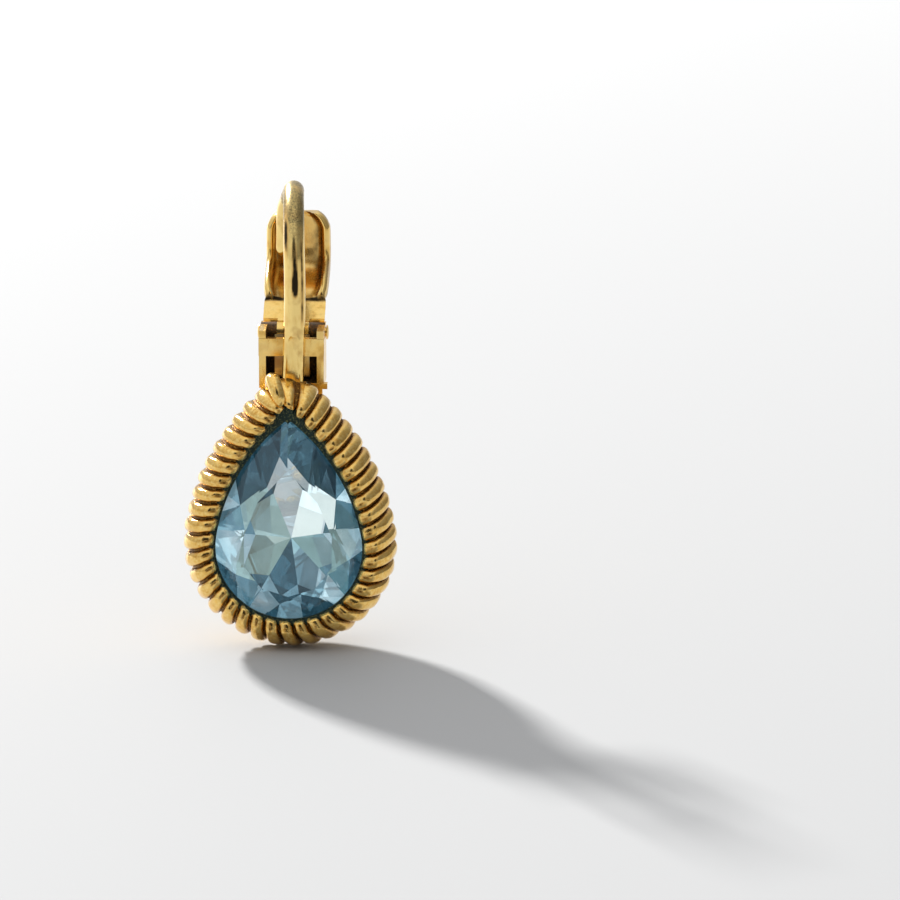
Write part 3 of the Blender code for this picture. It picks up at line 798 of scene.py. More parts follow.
def gap_shade_at(outset, row, front, row_count, hollow, angle):
    """How much painted shade a point of the border has, dark green as a painted reflection of the stone: most
    beside the stone, towards the tip and in the hollows.
    """
    if row >= front:
        return 1.0 if row >= row_count - SEAT_ROWS else 0.0
    inward = (BORDER_OUTSET - outset) / BORDER_WIDTH
    reach = (inward - GAP_SHADE_FROM) / (GAP_SHADE_FULL - GAP_SHADE_FROM)
    return clamp(reach + GAP_SHADE_IN_HOLLOWS * hollow + GAP_SHADE_AT_TIP * tip_share(angle) - GAP_SHADE_LESS)


def border():
    """The coil of wire round the stone, each turn a little unlike the next, and the collet behind it."""
    ridge = BORDER_OUTSET - BORDER_WIDTH / 2
    pitch = pear_length(ridge) / RIB_COUNT
    rows, front = border_rows()
    normals = section_normals(rows)
    chance = random.Random(SEED)
    rings, patina_and_painted_reflections, gap_shades = [], [], []
    for turn in range(RIB_COUNT):
        height, dent = ODD_TURNS.get(turn, (1.0, 0.0))
        height *= chance.uniform(*TURN_HEIGHTS)
        slip = chance.uniform(*TURN_SLIPS)
        twist = chance.uniform(*TURN_TWISTS)
        width = WIRE_SHARE * chance.uniform(*TURN_WIDTHS)
        waver = chance.uniform(*WOBBLE_STARTS)
        reflection_spot_depth = chance.uniform(*REFLECTION_SPOT_DEPTHS)
        for share in RIB_STATIONS:
            ring = []
            for i, ((outset, depth, rib, lean), normal) in enumerate(zip(rows, normals)):
                edge = 2 * abs(share)
                lane = lean * RIB_LEAN * (1.0 + (twist - 1.0) * (1.0 - edge))
                straight = (turn + share + slip * (1.0 - edge)) * pitch
                distance = straight + lane * flank_lean(pear_place(straight, ridge)[1])
                arc, angle = pear_place(distance, ridge)
                crowd = (arc[2] + ridge) / max(arc[2] + outset, SHARPEST_RADIUS)
                half_width = min(WIDEST_SHARE, width * (1.0 + TIP_FILL * max(crowd - 1.0, 0.0)))
                bulge = wire_height(share, half_width)
                rise = bulge * height
                if dent:
                    middle = (i / front - DENT_PLACE) / DENT_REACH
                    rise -= dent * math.exp(-middle * middle) * bulge
                across = (outset * WOBBLE_ACROSS + waver, depth * WOBBLE_ACROSS)
                wobble = noise.noise(Vector((*across, distance * WOBBLE_ALONG)))
                rise += WOBBLE * wobble * bulge
                sunk = RIB_DEPTH * rib * (1.0 - rise)
                radius = arc[2] + drawn_back(outset, angle, i < front) - sunk * normal[0]
                x = arc[0] + radius * math.cos(angle)
                z = arc[1] + radius * math.sin(angle)
                ring.append((x, LIP_Y + depth - sunk * normal[1], CENTRE_Z + z))
                hollow = 1.0 - bulge if i < front else COLLET_GRIME
                # Painted reflection: a dark spot on each turn near its inner end. The grime is patina in the
                # hollows.
                inward = (BORDER_OUTSET - outset) / BORDER_WIDTH
                spot = reflection_spot_depth * bell(inward, REFLECTION_SPOT_INWARD, REFLECTION_SPOT_LENGTH)
                spot *= bell(share, REFLECTION_SPOT_SHARE, REFLECTION_SPOT_BREADTH)
                grime = hollow * (PLAIN_GRIME + (1.0 - PLAIN_GRIME) * rib)
                patina_and_painted_reflections.append(max(spot, grime) if i < front else hollow)
                # Painted shade beside the stone, dark green as a painted reflection of the stone.
                gap_shades.append(gap_shade_at(outset, i, front, len(rows), hollow, angle))
            rings.append(ring)
    bm = loft(rings, closed=True)
    piece = mesh_object("border_coil", bm, [coil_gold()], sharp=60.0)
    paint(piece, "darkening", patina_and_painted_reflections)
    paint(piece, "gap_shade", gap_shades)
    return piece


def hook_path(rise_steps=40, arch_steps=72):
    """Points of the wire's axis from its foot over the crown to the tip, and the wire's radius at each."""
    foot_z = APEX_Z - FOOT_BELOW_APEX
    end_radius = CROWN_DIAMETER / 2
    way = []
    for i in range(rise_steps):
        way.append((WIRE_Y, foot_z + (-ARCH_RADIUS - foot_z) * i / rise_steps, 1.0))
    for i in range(arch_steps + 1):
        angle = math.pi * (1 - i / arch_steps)
        way.append((ARCH_RADIUS * math.cos(angle), ARCH_RADIUS * (math.sin(angle) - 1), 1.0))
    for degrees in range(0, 90, HOOK_TIP_STEP):
        angle = math.radians(degrees)
        way.append((ARCH_RADIUS, -TIP_DROP + end_radius * (1 - math.sin(angle)), math.cos(angle)))
    crown = rise_steps + arch_steps // 2
    gone = [0.0]
    for before, after in zip(way, way[1:]):
        gone.append(gone[-1] + math.dist(before[:2], after[:2]))
    bend = smooth_rows(HOOK_BEND, 6)
    points = []
    for i, (y, z, narrowing) in enumerate(way):
        if i <= crown:
            place = gone[i] / gone[crown]
        else:
            place = 1 + (gone[i] - gone[crown]) / (gone[-1] - gone[crown])
        diameter = WIRE_DIAMETER + (CROWN_DIAMETER - WIRE_DIAMETER) * min(place, 1.0)
        points.append(((SIDE_BEND * blend(bend, place, 1), y, z), narrowing * diameter / 2))
    return points


def tube_rings(points, sides=40):
    """Rings round a path of (point, radius), each square to it."""
    rings = []
    for i, (point, radius) in enumerate(points):
        before = Vector(points[max(i - 1, 0)][0])
        after = Vector(points[min(i + 1, len(points) - 1)][0])
        along = (after - before).normalized()
        across = Vector((1.0, 0.0, 0.0))
        across = (across - along * across.dot(along)).normalized()
        third = along.cross(across)
        ring = []
        for angle in steps_round(sides):
            ring.append(Vector(point) + radius * (across * math.cos(angle) + third * math.sin(angle)))
        rings.append(ring)
    return rings


# The end of the coil's wire, which bends over the border left of the hook's foot.
# Places are measured from the pear's tip: to +X, behind the lip, and up.
COIL_END = (
    # x, behind, up, radius
    (-1.15, 2.30, 1.10, 0.40),
    (-1.10, 1.50, 1.95, 0.44),
    (-0.95, 0.70, 2.10, 0.46),
    (-0.72, 0.22, 1.62, 0.46),
    (-0.50, 0.10, 1.02, 0.40),
    (-0.40, 0.20, 0.72, 0.27),
    (-0.37, 0.27, 0.62, 0.08),
)


def coil_end():
    tip_z = CENTRE_Z + STONE_HEIGHT - STONE_WIDTH / 2
    points = [((x, LIP_Y + back, tip_z + up), radius) for x, back, up, radius in smooth_rows(COIL_END, 8)]
    return mesh_object("coil_end", loft(tube_rings(points, 32)), [coil_gold()], sharp=60.0)


def bell(value, middle, reach):
    """1 at the middle, falling smoothly to 0 at the reach on both sides."""
    away = min(1.0, abs(value - middle) / reach)
    return (1.0 - away * away) ** 2


def span_bell(value, ends, spread):
    """A bell over the middle of the span between two ends, reaching this share of it both ways."""
    low, high = ends
    return bell(value, (low + high) / 2, (high - low) * spread)


def wire_darkening(across, facing, height):
    """Dark marks on the wire: painted reflections as a dark slot and a line down its front, and a rough strip
    of patina by its left edge.
    """
    if facing > MARKS_REACH:
        return 0.0
    reflection_slot_low, reflection_slot_high = REFLECTION_SLOT_HEIGHTS
    ends = min(1.0, (height - reflection_slot_low) / REFLECTION_SLOT_END, (reflection_slot_high - height) / REFLECTION_SLOT_FADE)
    slot = clamp(REFLECTION_SLOT_FILL * ends * bell(across, REFLECTION_SLOT_ACROSS, REFLECTION_SLOT_REACH))
    strip = bell(across, STRIP_ACROSS, STRIP_REACH) * span_bell(height, STRIP_HEIGHTS, STRIP_SPREAD)
    line = min(1.0, REFLECTION_LINE_FILL * span_bell(height, REFLECTION_LINE_HEIGHTS, REFLECTION_LINE_SPREAD))
    return REFLECTION_SLOT_STRENGTH * slot + STRIP_STRENGTH * strip + bell(across, REFLECTION_LINE_ACROSS, REFLECTION_LINE_REACH) * line


def hook():
    """The hook's wire, with the filed flat on the front of its foot left bare."""
    path = hook_path()
    rings, dark_marks, wear_and_shade_values = [], [], []
    for (centre, radius), ring in zip(path, tube_rings(path)):
        for spot in ring:
            above = spot.z - (APEX_Z + SOLDER + FLAT_HEIGHT)
            if above < 0 and spot.y < WIRE_Y:
                filed = WIRE_Y - WIRE_DIAMETER / 2 + FLAT_DEPTH * min(1.0, -above / FLAT_FADE)
                spot.y = max(spot.y, filed)
            across, facing = (spot.x - centre[0]) / radius, (spot.y - WIRE_Y) / ARCH_RADIUS
            # The slot and the line are painted reflections; the strip is patina.
            dark_marks.append(wire_darkening(across, facing, spot.z))
            wear_and_shade = clamp((spot.z + WORN_BELOW) / WORN_FADE)
            wear_and_shade_values.append(wear_and_shade if facing < WEAR_REACH else wear_and_shade * WEAR_BEHIND)
        rings.append(ring)
    piece = mesh_object("ear_hook_wire", loft(rings), [bright_gold("hook_gold", PALE_GOLD, SOOT_SHADE_AND_REFLECTION)], sharp=50.0)
    paint(piece, "darkening", dark_marks)
    paint(piece, "wear_and_shade", wear_and_shade_values)
    return piece


def hinge_box():
    """Two ears with the pin's bore, a strap across their front, a base and a bracket to the collet."""
    half = BOX_WIDTH / 2
    inside = half - PLATE_BITE
    bottom = BASE_TOP_Z - BASE_THICKNESS
    front = STRAP_FRONT_Y - STRAP_PROUD
    back = BOX_BACK_Y - PLATE_BITE
    strap_top = PIN_Z + STRAP_ABOVE_PIN
    wall_top = PIN_Z - KNUCKLE_RADIUS - WALL_BELOW_KNUCKLE
    strap = slab(half + PLATE_BITE, (front, STRAP_BACK_Y), (strap_top - STRAP_HEIGHT, strap_top))
    joined = mesh_object("hinge_box", strap, [bright_gold("box_gold", GOLD, BROWN, 0.22)])
    base = slab(inside, (STRAP_FRONT_Y + PLATE_BITE, BOX_BACK_Y + PLATE_BITE), (bottom, BASE_TOP_Z))
    combine(joined, "hinge_base", base, "UNION")
    lip_high = (half + BASE_OVERHANG, STRAP_BACK_Y, BASE_TOP_Z - PLATE_BITE)
    combine(joined, "hinge_base_lip", box((0.0, front, bottom - PLATE_BITE), lip_high), "UNION")
    wall = slab(inside, (BOX_BACK_Y - BOX_WALL, back), (bottom + PLATE_BITE, wall_top))
    combine(joined, "hinge_wall", wall, "UNION")
    bracket_z = (bottom - BRACKET_DROP, bottom + BASE_THICKNESS / 2)
    bracket = slab(BRACKET_WIDTH / 2, (STRAP_FRONT_Y, STRAP_BACK_Y), bracket_z)
    combine(joined, "hinge_bracket", bracket, "UNION")
    boss_end = KNUCKLE_WIDTH / 2 + BOSS_GAP
    for name, side in (("left", -1), ("right", 1)):
        ear_x = sorted((side * half, side * (half - EAR_THICKNESS)))
        boss_x = sorted((side * inside, side * boss_end))
        ear_low = (ear_x[0], STRAP_FRONT_Y - PLATE_BITE, bottom + 2 * PLATE_BITE)
        ear_high = (ear_x[1], BOX_BACK_Y, PIN_Z + EAR_RADIUS * EAR_TOP)
        combine(joined, f"hinge_ear_{name}", box(ear_low, ear_high), "UNION")
        combine(joined, f"hinge_boss_{name}", rod(EAR_RADIUS, *boss_x, PIN_Y, PIN_Z), "UNION")
    for side in (-1, 1):
        middle = side * WINDOW_PLACE
        low = (middle - WINDOW_WIDTH / 2, STRAP_FRONT_Y - 1.0, bottom - WINDOW_DROPS[0])
        high = (middle + WINDOW_WIDTH / 2, STRAP_BACK_Y + 1.0, bottom - WINDOW_DROPS[1])
        combine(joined, f"bracket_window_{side}", box(low, high), "DIFFERENCE")
    bore = rod(PIN_DIAMETER / 2 + PIN_CLEARANCE, -BOX_WIDTH, BOX_WIDTH, PIN_Y, PIN_Z)
    combine(joined, "hinge_bore", bore, "DIFFERENCE")
    soften(joined, BOX_EDGE)
    apply_modifiers(joined)
    # Painted shade: the faces inside the box take the dark material, where shade falls.
    joined.data.materials.append(box_inside_shade())
    inside_x = half - EAR_THICKNESS * (1.0 - SHADE_INTO_EAR)
    for face in joined.data.polygons:
        x, y, z = (value / MM for value in face.center)
        if abs(x) < inside_x and STRAP_BACK_Y - PLATE_BITE < y < back and z > bottom + PLATE_BITE:
            face.material_index = 1
    return joined


def hinge_pin():
    half = BOX_WIDTH / 2 + PIN_CLEARANCE
    profile = []
    for out, share in PIN_HEAD_PROFILE:
        profile.append((-half - PIN_HEAD_THICKNESS * out, PIN_HEAD_DIAMETER / 2 * share))
    profile.append((-half, PIN_DIAMETER / 2))
    profile += [(-x, r) for x, r in reversed(profile)]
    rings = []
    for x, r in profile:
        rings.append([(x, PIN_Y + r * math.cos(a), PIN_Z + r * math.sin(a)) for a in steps_round(48)])
    return mesh_object("hinge_pin_turned", loft(rings), [bright_gold("pin_gold", GOLD, BROWN, 0.2)])


def steps_round(count):
    return [2 * math.pi * k / count for k in range(count)]


def leaf_spring():
    """A bent strip: a foot on the box's base, and a blade that leans on the lever's knuckle."""
    foot_z = BASE_TOP_Z + FOOT_GAP + SPRING_THICKNESS / 2
    blade_y = SPRING_Y + SPRING_THICKNESS / 2
    way = [
        (BOX_BACK_Y - SPRING_FOOT_SHORT, foot_z),
        (blade_y + SPRING_BEND, foot_z),
        (blade_y + SPRING_BEND * SPRING_CORNER, foot_z + SPRING_BEND * SPRING_CORNER),
        (blade_y, foot_z + SPRING_BEND),
        (blade_y, PIN_Z - KNUCKLE_RADIUS - SPRING_BEND),
        (blade_y + SPRING_LEAN, PIN_Z + STRAP_ABOVE_PIN),
    ]
    rings = []
    half = SPRING_WIDTH / 2
    way = smooth_rows(way, 5)
    for i, (y, z) in enumerate(way):
        before, after = Vector(way[max(i - 1, 0)]), Vector(way[min(i + 1, len(way) - 1)])
        along = (after - before).normalized()
        normal = Vector((-along[1], along[0])) * SPRING_THICKNESS / 2
        first = (y + normal[0], z + normal[1])
        second = (y - normal[0], z - normal[1])
        rings.append([(-half, *first), (half, *first), (half, *second), (-half, *second)])
    piece = mesh_object("leaf_spring_strip", loft(rings), [bright_gold("spring_gold", TAN, BROWN, 0.34)])
    soften(piece, SPRING_EDGE, 2)
    apply_modifiers(piece)
    return piece


def lever_path():
    """Points (y, z) of the lever's middle, from the band's start at the hinge to the top of its cup."""
    start = Vector((PIN_Y + BAND_START_REACH, PIN_Z + BAND_START_RISE, 0.0))
    band_end = Vector((PIN_Y + BAND_REACH, PIN_Z + BAND_RISE, 0.0))
    along = (band_end - start).normalized()
    upright = Vector((CUP_Y, -ARCH_RADIUS - CUP_BEND_BELOW_ARCH, 0.0))
    reach = (upright - band_end).length * BEND_PULL
    handles = (band_end + along * reach, upright - Vector((0.0, reach, 0.0)))
    bend = interpolate_bezier(band_end, *handles, upright, 24)
    top = Vector((CUP_Y, -LEVER_TOP_DROP, 0.0))
    return [start, *bend, upright.lerp(top, 0.5), top]


def lever_section(half, rim):
    """Half widths, heights and hollowness from the back's middle to the front's, on the +X side."""
    plate = LEVER_THICKNESS / 2
    corner = min(LEVER_CORNER, LEVER_RIM_WIDTH)
    rows = [
        (half * 0.3, -plate, 0.0),
        (half - corner * 1.4, -plate, 0.0),
        (half - corner * 0.75, -plate * 0.95, 0.0),
        (half - corner * 0.25, -plate * 0.55, 0.0),
        (half, plate * 0.3, 0.0),
    ]
    for inward, rise, hollow in RIM_SHAPE:
        rows.append((half - LEVER_RIM_WIDTH * inward, plate + rim * rise, hollow))
    return rows + [(half * 0.45, plate - rim * 0.04, 0.8), (half * 0.15, plate - rim * 0.05, 0.65)]


def way_point(path, ends, share):
    """The point at this share of the path's length, given how far along it each of its points lies."""
    gone = clamp(share) * ends[-1]
    place = next((i for i in range(1, len(path)) if gone <= ends[i]), len(path) - 1)
    return path[place - 1].lerp(path[place], (gone - ends[place - 1]) / (ends[place] - ends[place - 1]))


def lever_blade():
    path = lever_path()
    ends = [0.0]
    for a, b in zip(path, path[1:]):
        ends.append(ends[-1] + (b - a).length)
    rings, hollows, wear_and_shade_values = [], [], []
    band = LEVER_SECTIONS[1][0]
    sections = smooth_rows(LEVER_SECTIONS, 5)
    for step in range(LEVER_STEPS + 1):
        share = step / LEVER_STEPS
        half = LEVER_WIDTH / 2 * blend(sections, share, 1)
        rim = max(0.0, blend(sections, share, 2))
        middle = way_point(path, ends, share)
        along = way_point(path, ends, share + LOOK_ALONG) - way_point(path, ends, share - LOOK_ALONG)
        if share <= band:
            along = path[1] - path[0]
        along.normalize()
        front = Vector((-along[1], along[0]))
        rows = lever_section(half, LEVER_RIM * rim)
        ring = [(x, middle[0] + front[0] * n, middle[1] + front[1] * n) for x, n, _ in rows]
        rings.append(ring + [(-x, y, z) for x, y, z in reversed(ring)])
        # The cup is darker in its hollow, and a dark line runs across the seam.
        filled = min(1.0, rim * CUP_FILL)
        seam = bell(share, SEAM_SHARE, SEAM_REACH)
        dark_marks = [CUP_DARKENING * hollow * filled + (seam if n > 0 else 0.0) for _, n, hollow in rows]
        hollows += dark_marks + dark_marks[::-1]
        # Painted shade on the outer sides of the cup and on the rims at the bend, where it dims the lamp's
        # highlight.
        bent = bell(share, BEND_SHARE, BEND_REACH)
        for x, _, _ in rows + rows[::-1]:
            side = filled if x > half - SIDE_DEPTH else bent if x > half * SIDE_FROM else 0.0
            wear_and_shade_values.append(OUTSIDE_SHADE * side)
    return loft(rings), hollows, wear_and_shade_values


def lever():
    """The lever: a knuckle on the pin, and a band with a dished cup behind the hook's tip."""
    bm, hollows, wear_and_shade_values = lever_blade()
    finish = bright_gold("lever_gold", GOLD, SOOT_SHADE_AND_REFLECTION, 0.17)
    piece = mesh_object("lever_cup", bm, [finish], sharp=50.0)
    paint(piece, "darkening", hollows)
    paint(piece, "wear_and_shade", wear_and_shade_values)
    half = KNUCKLE_WIDTH / 2
    knuckle = mesh_object("lever_knuckle", rod(KNUCKLE_RADIUS, -half, half, PIN_Y, PIN_Z), [finish])
    under, over = TONGUE_SHARES
    tongue_y = (PIN_Y, PIN_Y + KNUCKLE_RADIUS * math.sqrt(2) + TONGUE_PAST)
    tongue_z = (PIN_Z - LEVER_THICKNESS * under, PIN_Z + LEVER_THICKNESS * over)
    tongue = slab(half - TONGUE_INSET, tongue_y, tongue_z)
    turn = Matrix.Rotation(math.radians(TONGUE_SLOPE), 3, "X")
    bmesh.ops.rotate(tongue, cent=(0.0, PIN_Y, PIN_Z), matrix=turn, verts=tongue.verts)
    combine(knuckle, "knuckle_tongue", tongue, "UNION")
    bore = rod(PIN_DIAMETER / 2 + PIN_CLEARANCE, -LEVER_WIDTH, LEVER_WIDTH, PIN_Y, PIN_Z)
    combine(knuckle, "knuckle_bore", bore, "DIFFERENCE")
    soften(knuckle, KNUCKLE_EDGE, 2)
    apply_modifiers(knuckle)
    return piece, knuckle


def pear_outline(count=1440):
    """Directions from the stone's centre, clockwise from the tip, and the outline's points (x, z) there."""
    length = pear_length(0.0)
    points = []
    for i in range(count):
        arc, angle = pear_place(-length * i / count, 0.0)
        x = arc[0] + arc[2] * math.cos(angle)
        z = arc[1] + arc[2] * math.sin(angle)
        points.append((math.degrees(math.atan2(x, z)) % 360, x, z))
    return sorted(points)


OUTLINE = pear_outline()


def girdle_at(degrees):
    """The outline's point in this direction from the stone's centre."""
    degrees %= 360
    nearest = min(OUTLINE, key=lambda row: abs((row[0] - degrees + 180) % 360 - 180))
    return Vector((nearest[1], nearest[2]))


def stone_bmesh():
    """A pear brilliant. Its crown and pavilion meet at the girdle, and each facet carries its painted light
    level and painted warm glint.
    """
    bm = bmesh.new()
    facet_light = bm.faces.layers.float.new("facet_light")
    warm_glint = bm.faces.layers.float.new("warm_glint")
    back_y = GIRDLE_FRONT + GIRDLE_THICKNESS

    def vert(point, depth):
        return bm.verts.new((point[0], depth, point[1]))

    around = [girdle_at(360.0 * i / GIRDLE_STEPS) for i in range(GIRDLE_STEPS)]
    front = [vert(point, GIRDLE_FRONT) for point in around]
    back = [vert(point, back_y) for point in around]
    for i in range(GIRDLE_STEPS):
        j = (i + 1) % GIRDLE_STEPS
        bm.faces.new((front[i], front[j], back[j], back[i]))[facet_light] = 0.5

    def stretch(ring, start, end):
        """The ring's points from one direction to another, clockwise."""
        first = round(start * GIRDLE_STEPS / 360.0)
        last = round(end * GIRDLE_STEPS / 360.0)
        while last <= first:
            last += GIRDLE_STEPS
        return [ring[k % GIRDLE_STEPS] for k in range(first, last + 1)]

    def between(a, b):
        return a + ((b - a) % 360.0) / 2

    count = len(CROWN_MAINS)
    table = [vert(girdle_at(d) * TABLE_SHARE, GIRDLE_FRONT - CROWN_HEIGHT) for d in CROWN_MAINS]
    middles = [between(CROWN_MAINS[i], CROWN_MAINS[(i + 1) % count]) for i in range(count)]
    knee_y = GIRDLE_FRONT - CROWN_HEIGHT * KNEE_HEIGHT
    knees = [vert(girdle_at(d) * KNEE_SHARE, knee_y) for d in middles]
    bm.faces.new(table)
    for i in range(count):
        j = (i + 1) % count
        corner = stretch(front, CROWN_MAINS[i], CROWN_MAINS[i])[0]
        bm.faces.new((table[i], table[j], knees[i]))
        bm.faces.new((table[i], knees[i], corner, knees[i - 1]))
        bm.faces.new((knees[i], *reversed(stretch(front, CROWN_MAINS[i], middles[i]))))
        bm.faces.new((knees[i], *reversed(stretch(front, middles[i], CROWN_MAINS[j]))))

    culet = vert(Vector((0.0, 0.0)), CULET_DEPTH)
    count = len(PAVILION_MAINS)
    elbows, corners = [], []
    for _, _, _, _, direction, reach, _, _ in PAVILION_MAINS:
        depth = back_y + PAVILION_DEPTH * (1.0 - reach) * ELBOW_DEEPER
        elbows.append(vert(girdle_at(direction) * reach, depth))
    for i in range(count):
        point = girdle_at(PAVILION_MAINS[i][0]) * PAVILION_MAINS[i][1]
        first, second = elbows[i - 1].co, elbows[i].co
        normal = (first - culet.co).cross(second - culet.co)
        corners.append(vert(point, culet.co.y - (normal.x * point[0] + normal.z * point[1]) / normal.y))

    def facet(bright, *around_it, warm_glint_share=0.0):
        face = bm.faces.new(around_it)
        face.material_index = 1
        face[facet_light] = bright
        face[warm_glint] = warm_glint_share

    for i in range(count):
        j = (i + 1) % count
        direction, _, bright, warm_glint_share, elbow_at, _, tone_a, tone_b = PAVILION_MAINS[i]
        half_a, half_b = between(direction, elbow_at), between(elbow_at, PAVILION_MAINS[j][0])
        facet(bright, culet, elbows[i - 1], corners[i], elbows[i], warm_glint_share=warm_glint_share)
        facet(tone_a, elbows[i], corners[i], *stretch(back, half_a, elbow_at))
        facet(tone_b, elbows[i], *stretch(back, elbow_at, half_b), corners[j])
        rim = stretch(back, between(PAVILION_MAINS[i - 1][4], direction), half_a)
        middle = len(rim) // 2
        facet(RIM_FACET_LIGHTS[(2 * i) % len(RIM_FACET_LIGHTS)], corners[i], *rim[: middle + 1])
        facet(RIM_FACET_LIGHTS[(2 * i + 3) % len(RIM_FACET_LIGHTS)], corners[i], *rim[middle:])
    bmesh.ops.translate(bm, verts=bm.verts, vec=(0.0, LIP_Y, CENTRE_Z))
    return bm


def crystal():
    nodes = new_finish("aqua_crystal")
    nodes.set("Base Color", (0.90, 0.97, 0.985))
    nodes.set("Transmission Weight", 1.0)
    nodes.set("Roughness", 0.0)
    nodes.set("IOR", 1.55)
    return nodes.owner


def facet_back():
    """The pavilion's facets, with painted reflections: each facet's painted light level sets its colour and
    its glow, and some carry a painted warm glint.
    """
    nodes = new_finish("aqua_facets")
    clouds = nodes.noise(500.0, 2.0)
    facet_light = nodes.maths("ADD", nodes.attribute("facet_light"), nodes.vary(clouds, -0.06, 0.06))
    colour = nodes.ramp(
        facet_light,
        (0.0, (0.02, 0.06, 0.09)),
        (0.45, (0.26, 0.44, 0.53)),
        (0.75, (0.66, 0.82, 0.87)),
        (1.0, (1.0, 1.0, 1.0)),
    )
    glow = nodes.ramp(
        facet_light,
        (0.0, (0.01, 0.04, 0.06)),
        (0.4, (0.04, 0.11, 0.15)),
        (0.7, (0.28, 0.44, 0.52)),
        (1.0, (1.0, 1.0, 1.0)),
    )
    nodes.feed("Base Color", nodes.mix(nodes.attribute("warm_glint"), colour, WARM_GLINT_COLOUR))
    # Painted light: the facets glow, though the stone is no lamp.
    nodes.feed("Emission Color", nodes.mix(nodes.attribute("warm_glint"), glow, PAINTED_WARM_GLOW))
    nodes.set("Emission Strength", 0.42)
    nodes.set("Metallic", 0.8)
    nodes.set("Roughness", 0.02)
    return nodes.owner


def stone():
    return mesh_object("stone_cut", stone_bmesh(), [crystal(), facet_back()], sharp=0)


def floor():
    bm = bmesh.new()
    bmesh.ops.create_grid(bm, x_segments=1, y_segments=1, size=FLOOR_HALF)
    bmesh.ops.translate(bm, verts=bm.verts, vec=(0.0, 0.0, SETTING_LOW.z - FLOOR_BELOW))
    nodes = new_finish("pale_floor")
    nodes.set("Base Color", (0.500, 0.506, 0.515))
    nodes.set("Roughness", 0.6)
    nodes.set("Specular IOR Level", 0.10)
    mesh_object("floor", bm, [nodes.owner], sharp=0)


# Camera: the photograph looks down a little, from slightly to the right.
CAMERA_RISE = 15.0
CAMERA_TURN = 2.5
CAMERA_LENS = 300.0
VIEW_WIDTH = 58.1
AIM_RIGHT = 10.35
AIM_Y = LIP_Y + 2.0
AIM_ABOVE_CENTRE = 6.18
CLIP_START, CLIP_END = 0.01, 10.0

# Floor and key light
FLOOR_HALF = 900.0
FLOOR_BELOW = 0.02
KEY_DIRECTION = (-18.7, 29.0, 19.0)
KEY_DISTANCE = 1200.0
KEY_SIZE = 126.0
KEY_POWER = 27.0
KEY_COLOUR = (1.0, 0.985, 0.96)
KEY_AIM_ABOVE = 5.0


def stand(name, data, aim, toward, distance):
    """Puts a camera or lamp this far from its aim in this direction, and turns it to the aim."""
    thing = link(bpy.data.objects.new(name, data))
    thing.location = (aim + toward * distance) * MM
    thing.rotation_mode = "QUATERNION"
    thing.rotation_quaternion = (-toward).to_track_quat("-Z", "Y")
    return thing


def camera():
    rise, turn = math.radians(CAMERA_RISE), math.radians(CAMERA_TURN)
    back = Vector((math.sin(turn) * math.cos(rise), -math.cos(turn) * math.cos(rise), math.sin(rise)))
    right = Vector((math.cos(turn), math.sin(turn), 0.0))
    data = bpy.data.cameras.new("photo_view")
    data.lens = CAMERA_LENS
    data.clip_start, data.clip_end = CLIP_START, CLIP_END
    distance = VIEW_WIDTH / data.sensor_width * CAMERA_LENS
    aim = Vector((0.0, AIM_Y, CENTRE_Z + AIM_ABOVE_CENTRE)) + right * AIM_RIGHT
    bpy.context.scene.camera = stand("photo_view", data, aim, back, distance)


def key_light():
    """A square lamp behind the stone on the left."""
    data = bpy.data.lights.new("key", "AREA")
    data.size = KEY_SIZE * MM
    data.energy = KEY_POWER
    data.color = KEY_COLOUR
    aim = Vector((0.0, LIP_Y, CENTRE_Z + KEY_AIM_ABOVE))
    stand("key", data, aim, Vector(KEY_DIRECTION).normalized(), KEY_DISTANCE)


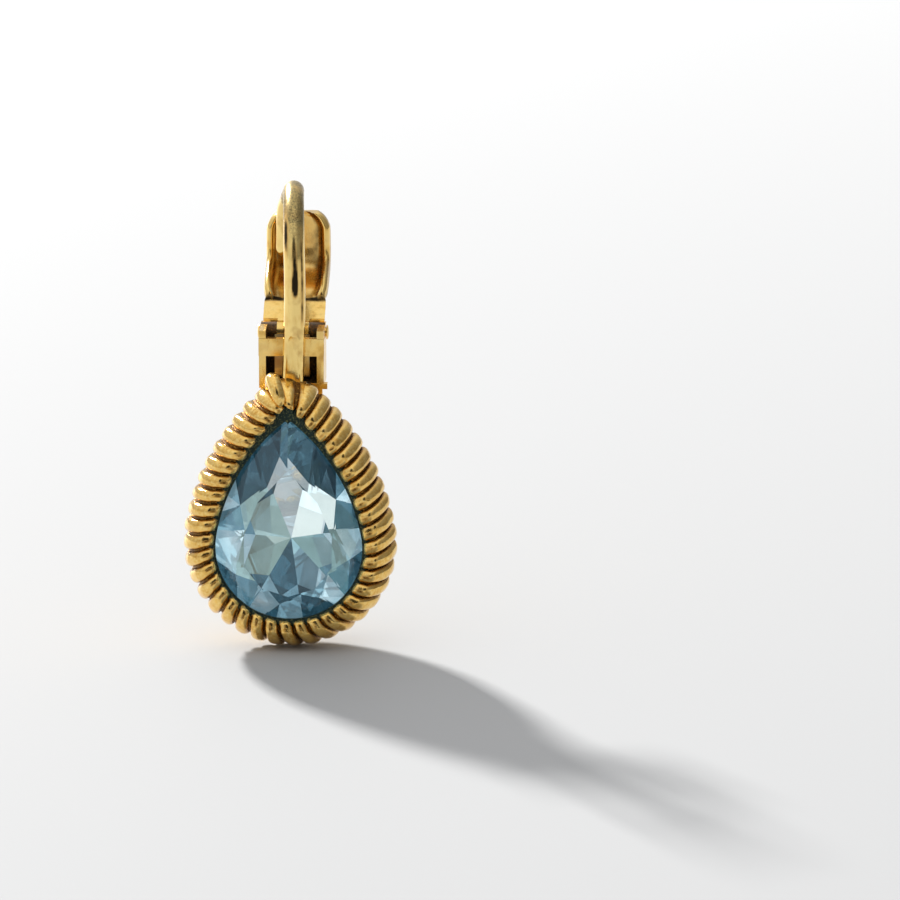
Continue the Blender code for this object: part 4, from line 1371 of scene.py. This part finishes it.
# The tent of light: its levels by the direction's height, the dark spot at the front and the dim right side.
WORLD_LEVELS = ((-1.0, 0.50), (0.0, 0.62), (0.25, 0.78), (0.60, 0.95), (1.0, 1.10))
WORLD_STRENGTH = 0.90
DARK_SPOT = (0.04, -0.992, 0.12)
DARK_SPOT_FLATTER = 0.55
DARK_SPOT_EDGE, DARK_SPOT_LEVEL = (0.915, 0.975), 0.05
DIM_SIDE_EDGE, DIM_SIDE_LEVEL = (0.15, 0.75), 0.38


def studio_world():
    """A bright tent of light with a dark spot at the front, dimmer on the right."""
    world = bpy.data.worlds.new("studio")
    bpy.context.scene.world = world
    nodes = Nodes(world, "Background")
    place = nodes.add("ShaderNodeTexCoord").outputs["Generated"]
    axes = nodes.add("ShaderNodeSeparateXYZ")
    nodes.join(place, axes.inputs["Vector"])
    stops = [((height + 1) / 2, (level, level, level)) for height, level in WORLD_LEVELS]
    tent = nodes.ramp(nodes.spread(axes.outputs["Z"], -1.0, 1.0), *stops)
    unit = nodes.vector("NORMALIZE", nodes.vector("MULTIPLY", place, (1.0, 1.0, DARK_SPOT_FLATTER)))
    near = nodes.vector("DOT_PRODUCT", unit, DARK_SPOT)
    spot = nodes.spread(near, *DARK_SPOT_EDGE, 1.0, DARK_SPOT_LEVEL, "SMOOTHSTEP")
    side = nodes.spread(axes.outputs["X"], *DIM_SIDE_EDGE, 1.0, DIM_SIDE_LEVEL, "SMOOTHSTEP")
    dimmed = nodes.add("ShaderNodeVectorMath", operation="SCALE")
    nodes.join(tent, dimmed.inputs[0])
    nodes.join(nodes.maths("MULTIPLY", spot, side), dimmed.inputs["Scale"])
    nodes.feed("Color", dimmed.outputs["Vector"])
    nodes.set("Strength", WORLD_STRENGTH)


def build():
    for piece in (border(), coil_end(), hook(), hinge_box()):
        seat(piece, "earring", "antiqued_gold", "setting_with_ear_hook")
    seat(hinge_pin(), "earring", "pin_gold", "hinge_pin")
    seat(leaf_spring(), "earring", "spring_gold", "leaf_spring")
    seat(stone(), "earring", "aqua_crystal", "stone")
    for piece in lever():
        seat(piece, "lever_body", "lever_gold", "lever")
    floor()
    camera()
    key_light()
    studio_world()
    bpy.context.scene.view_settings.view_transform = "Standard"


build()
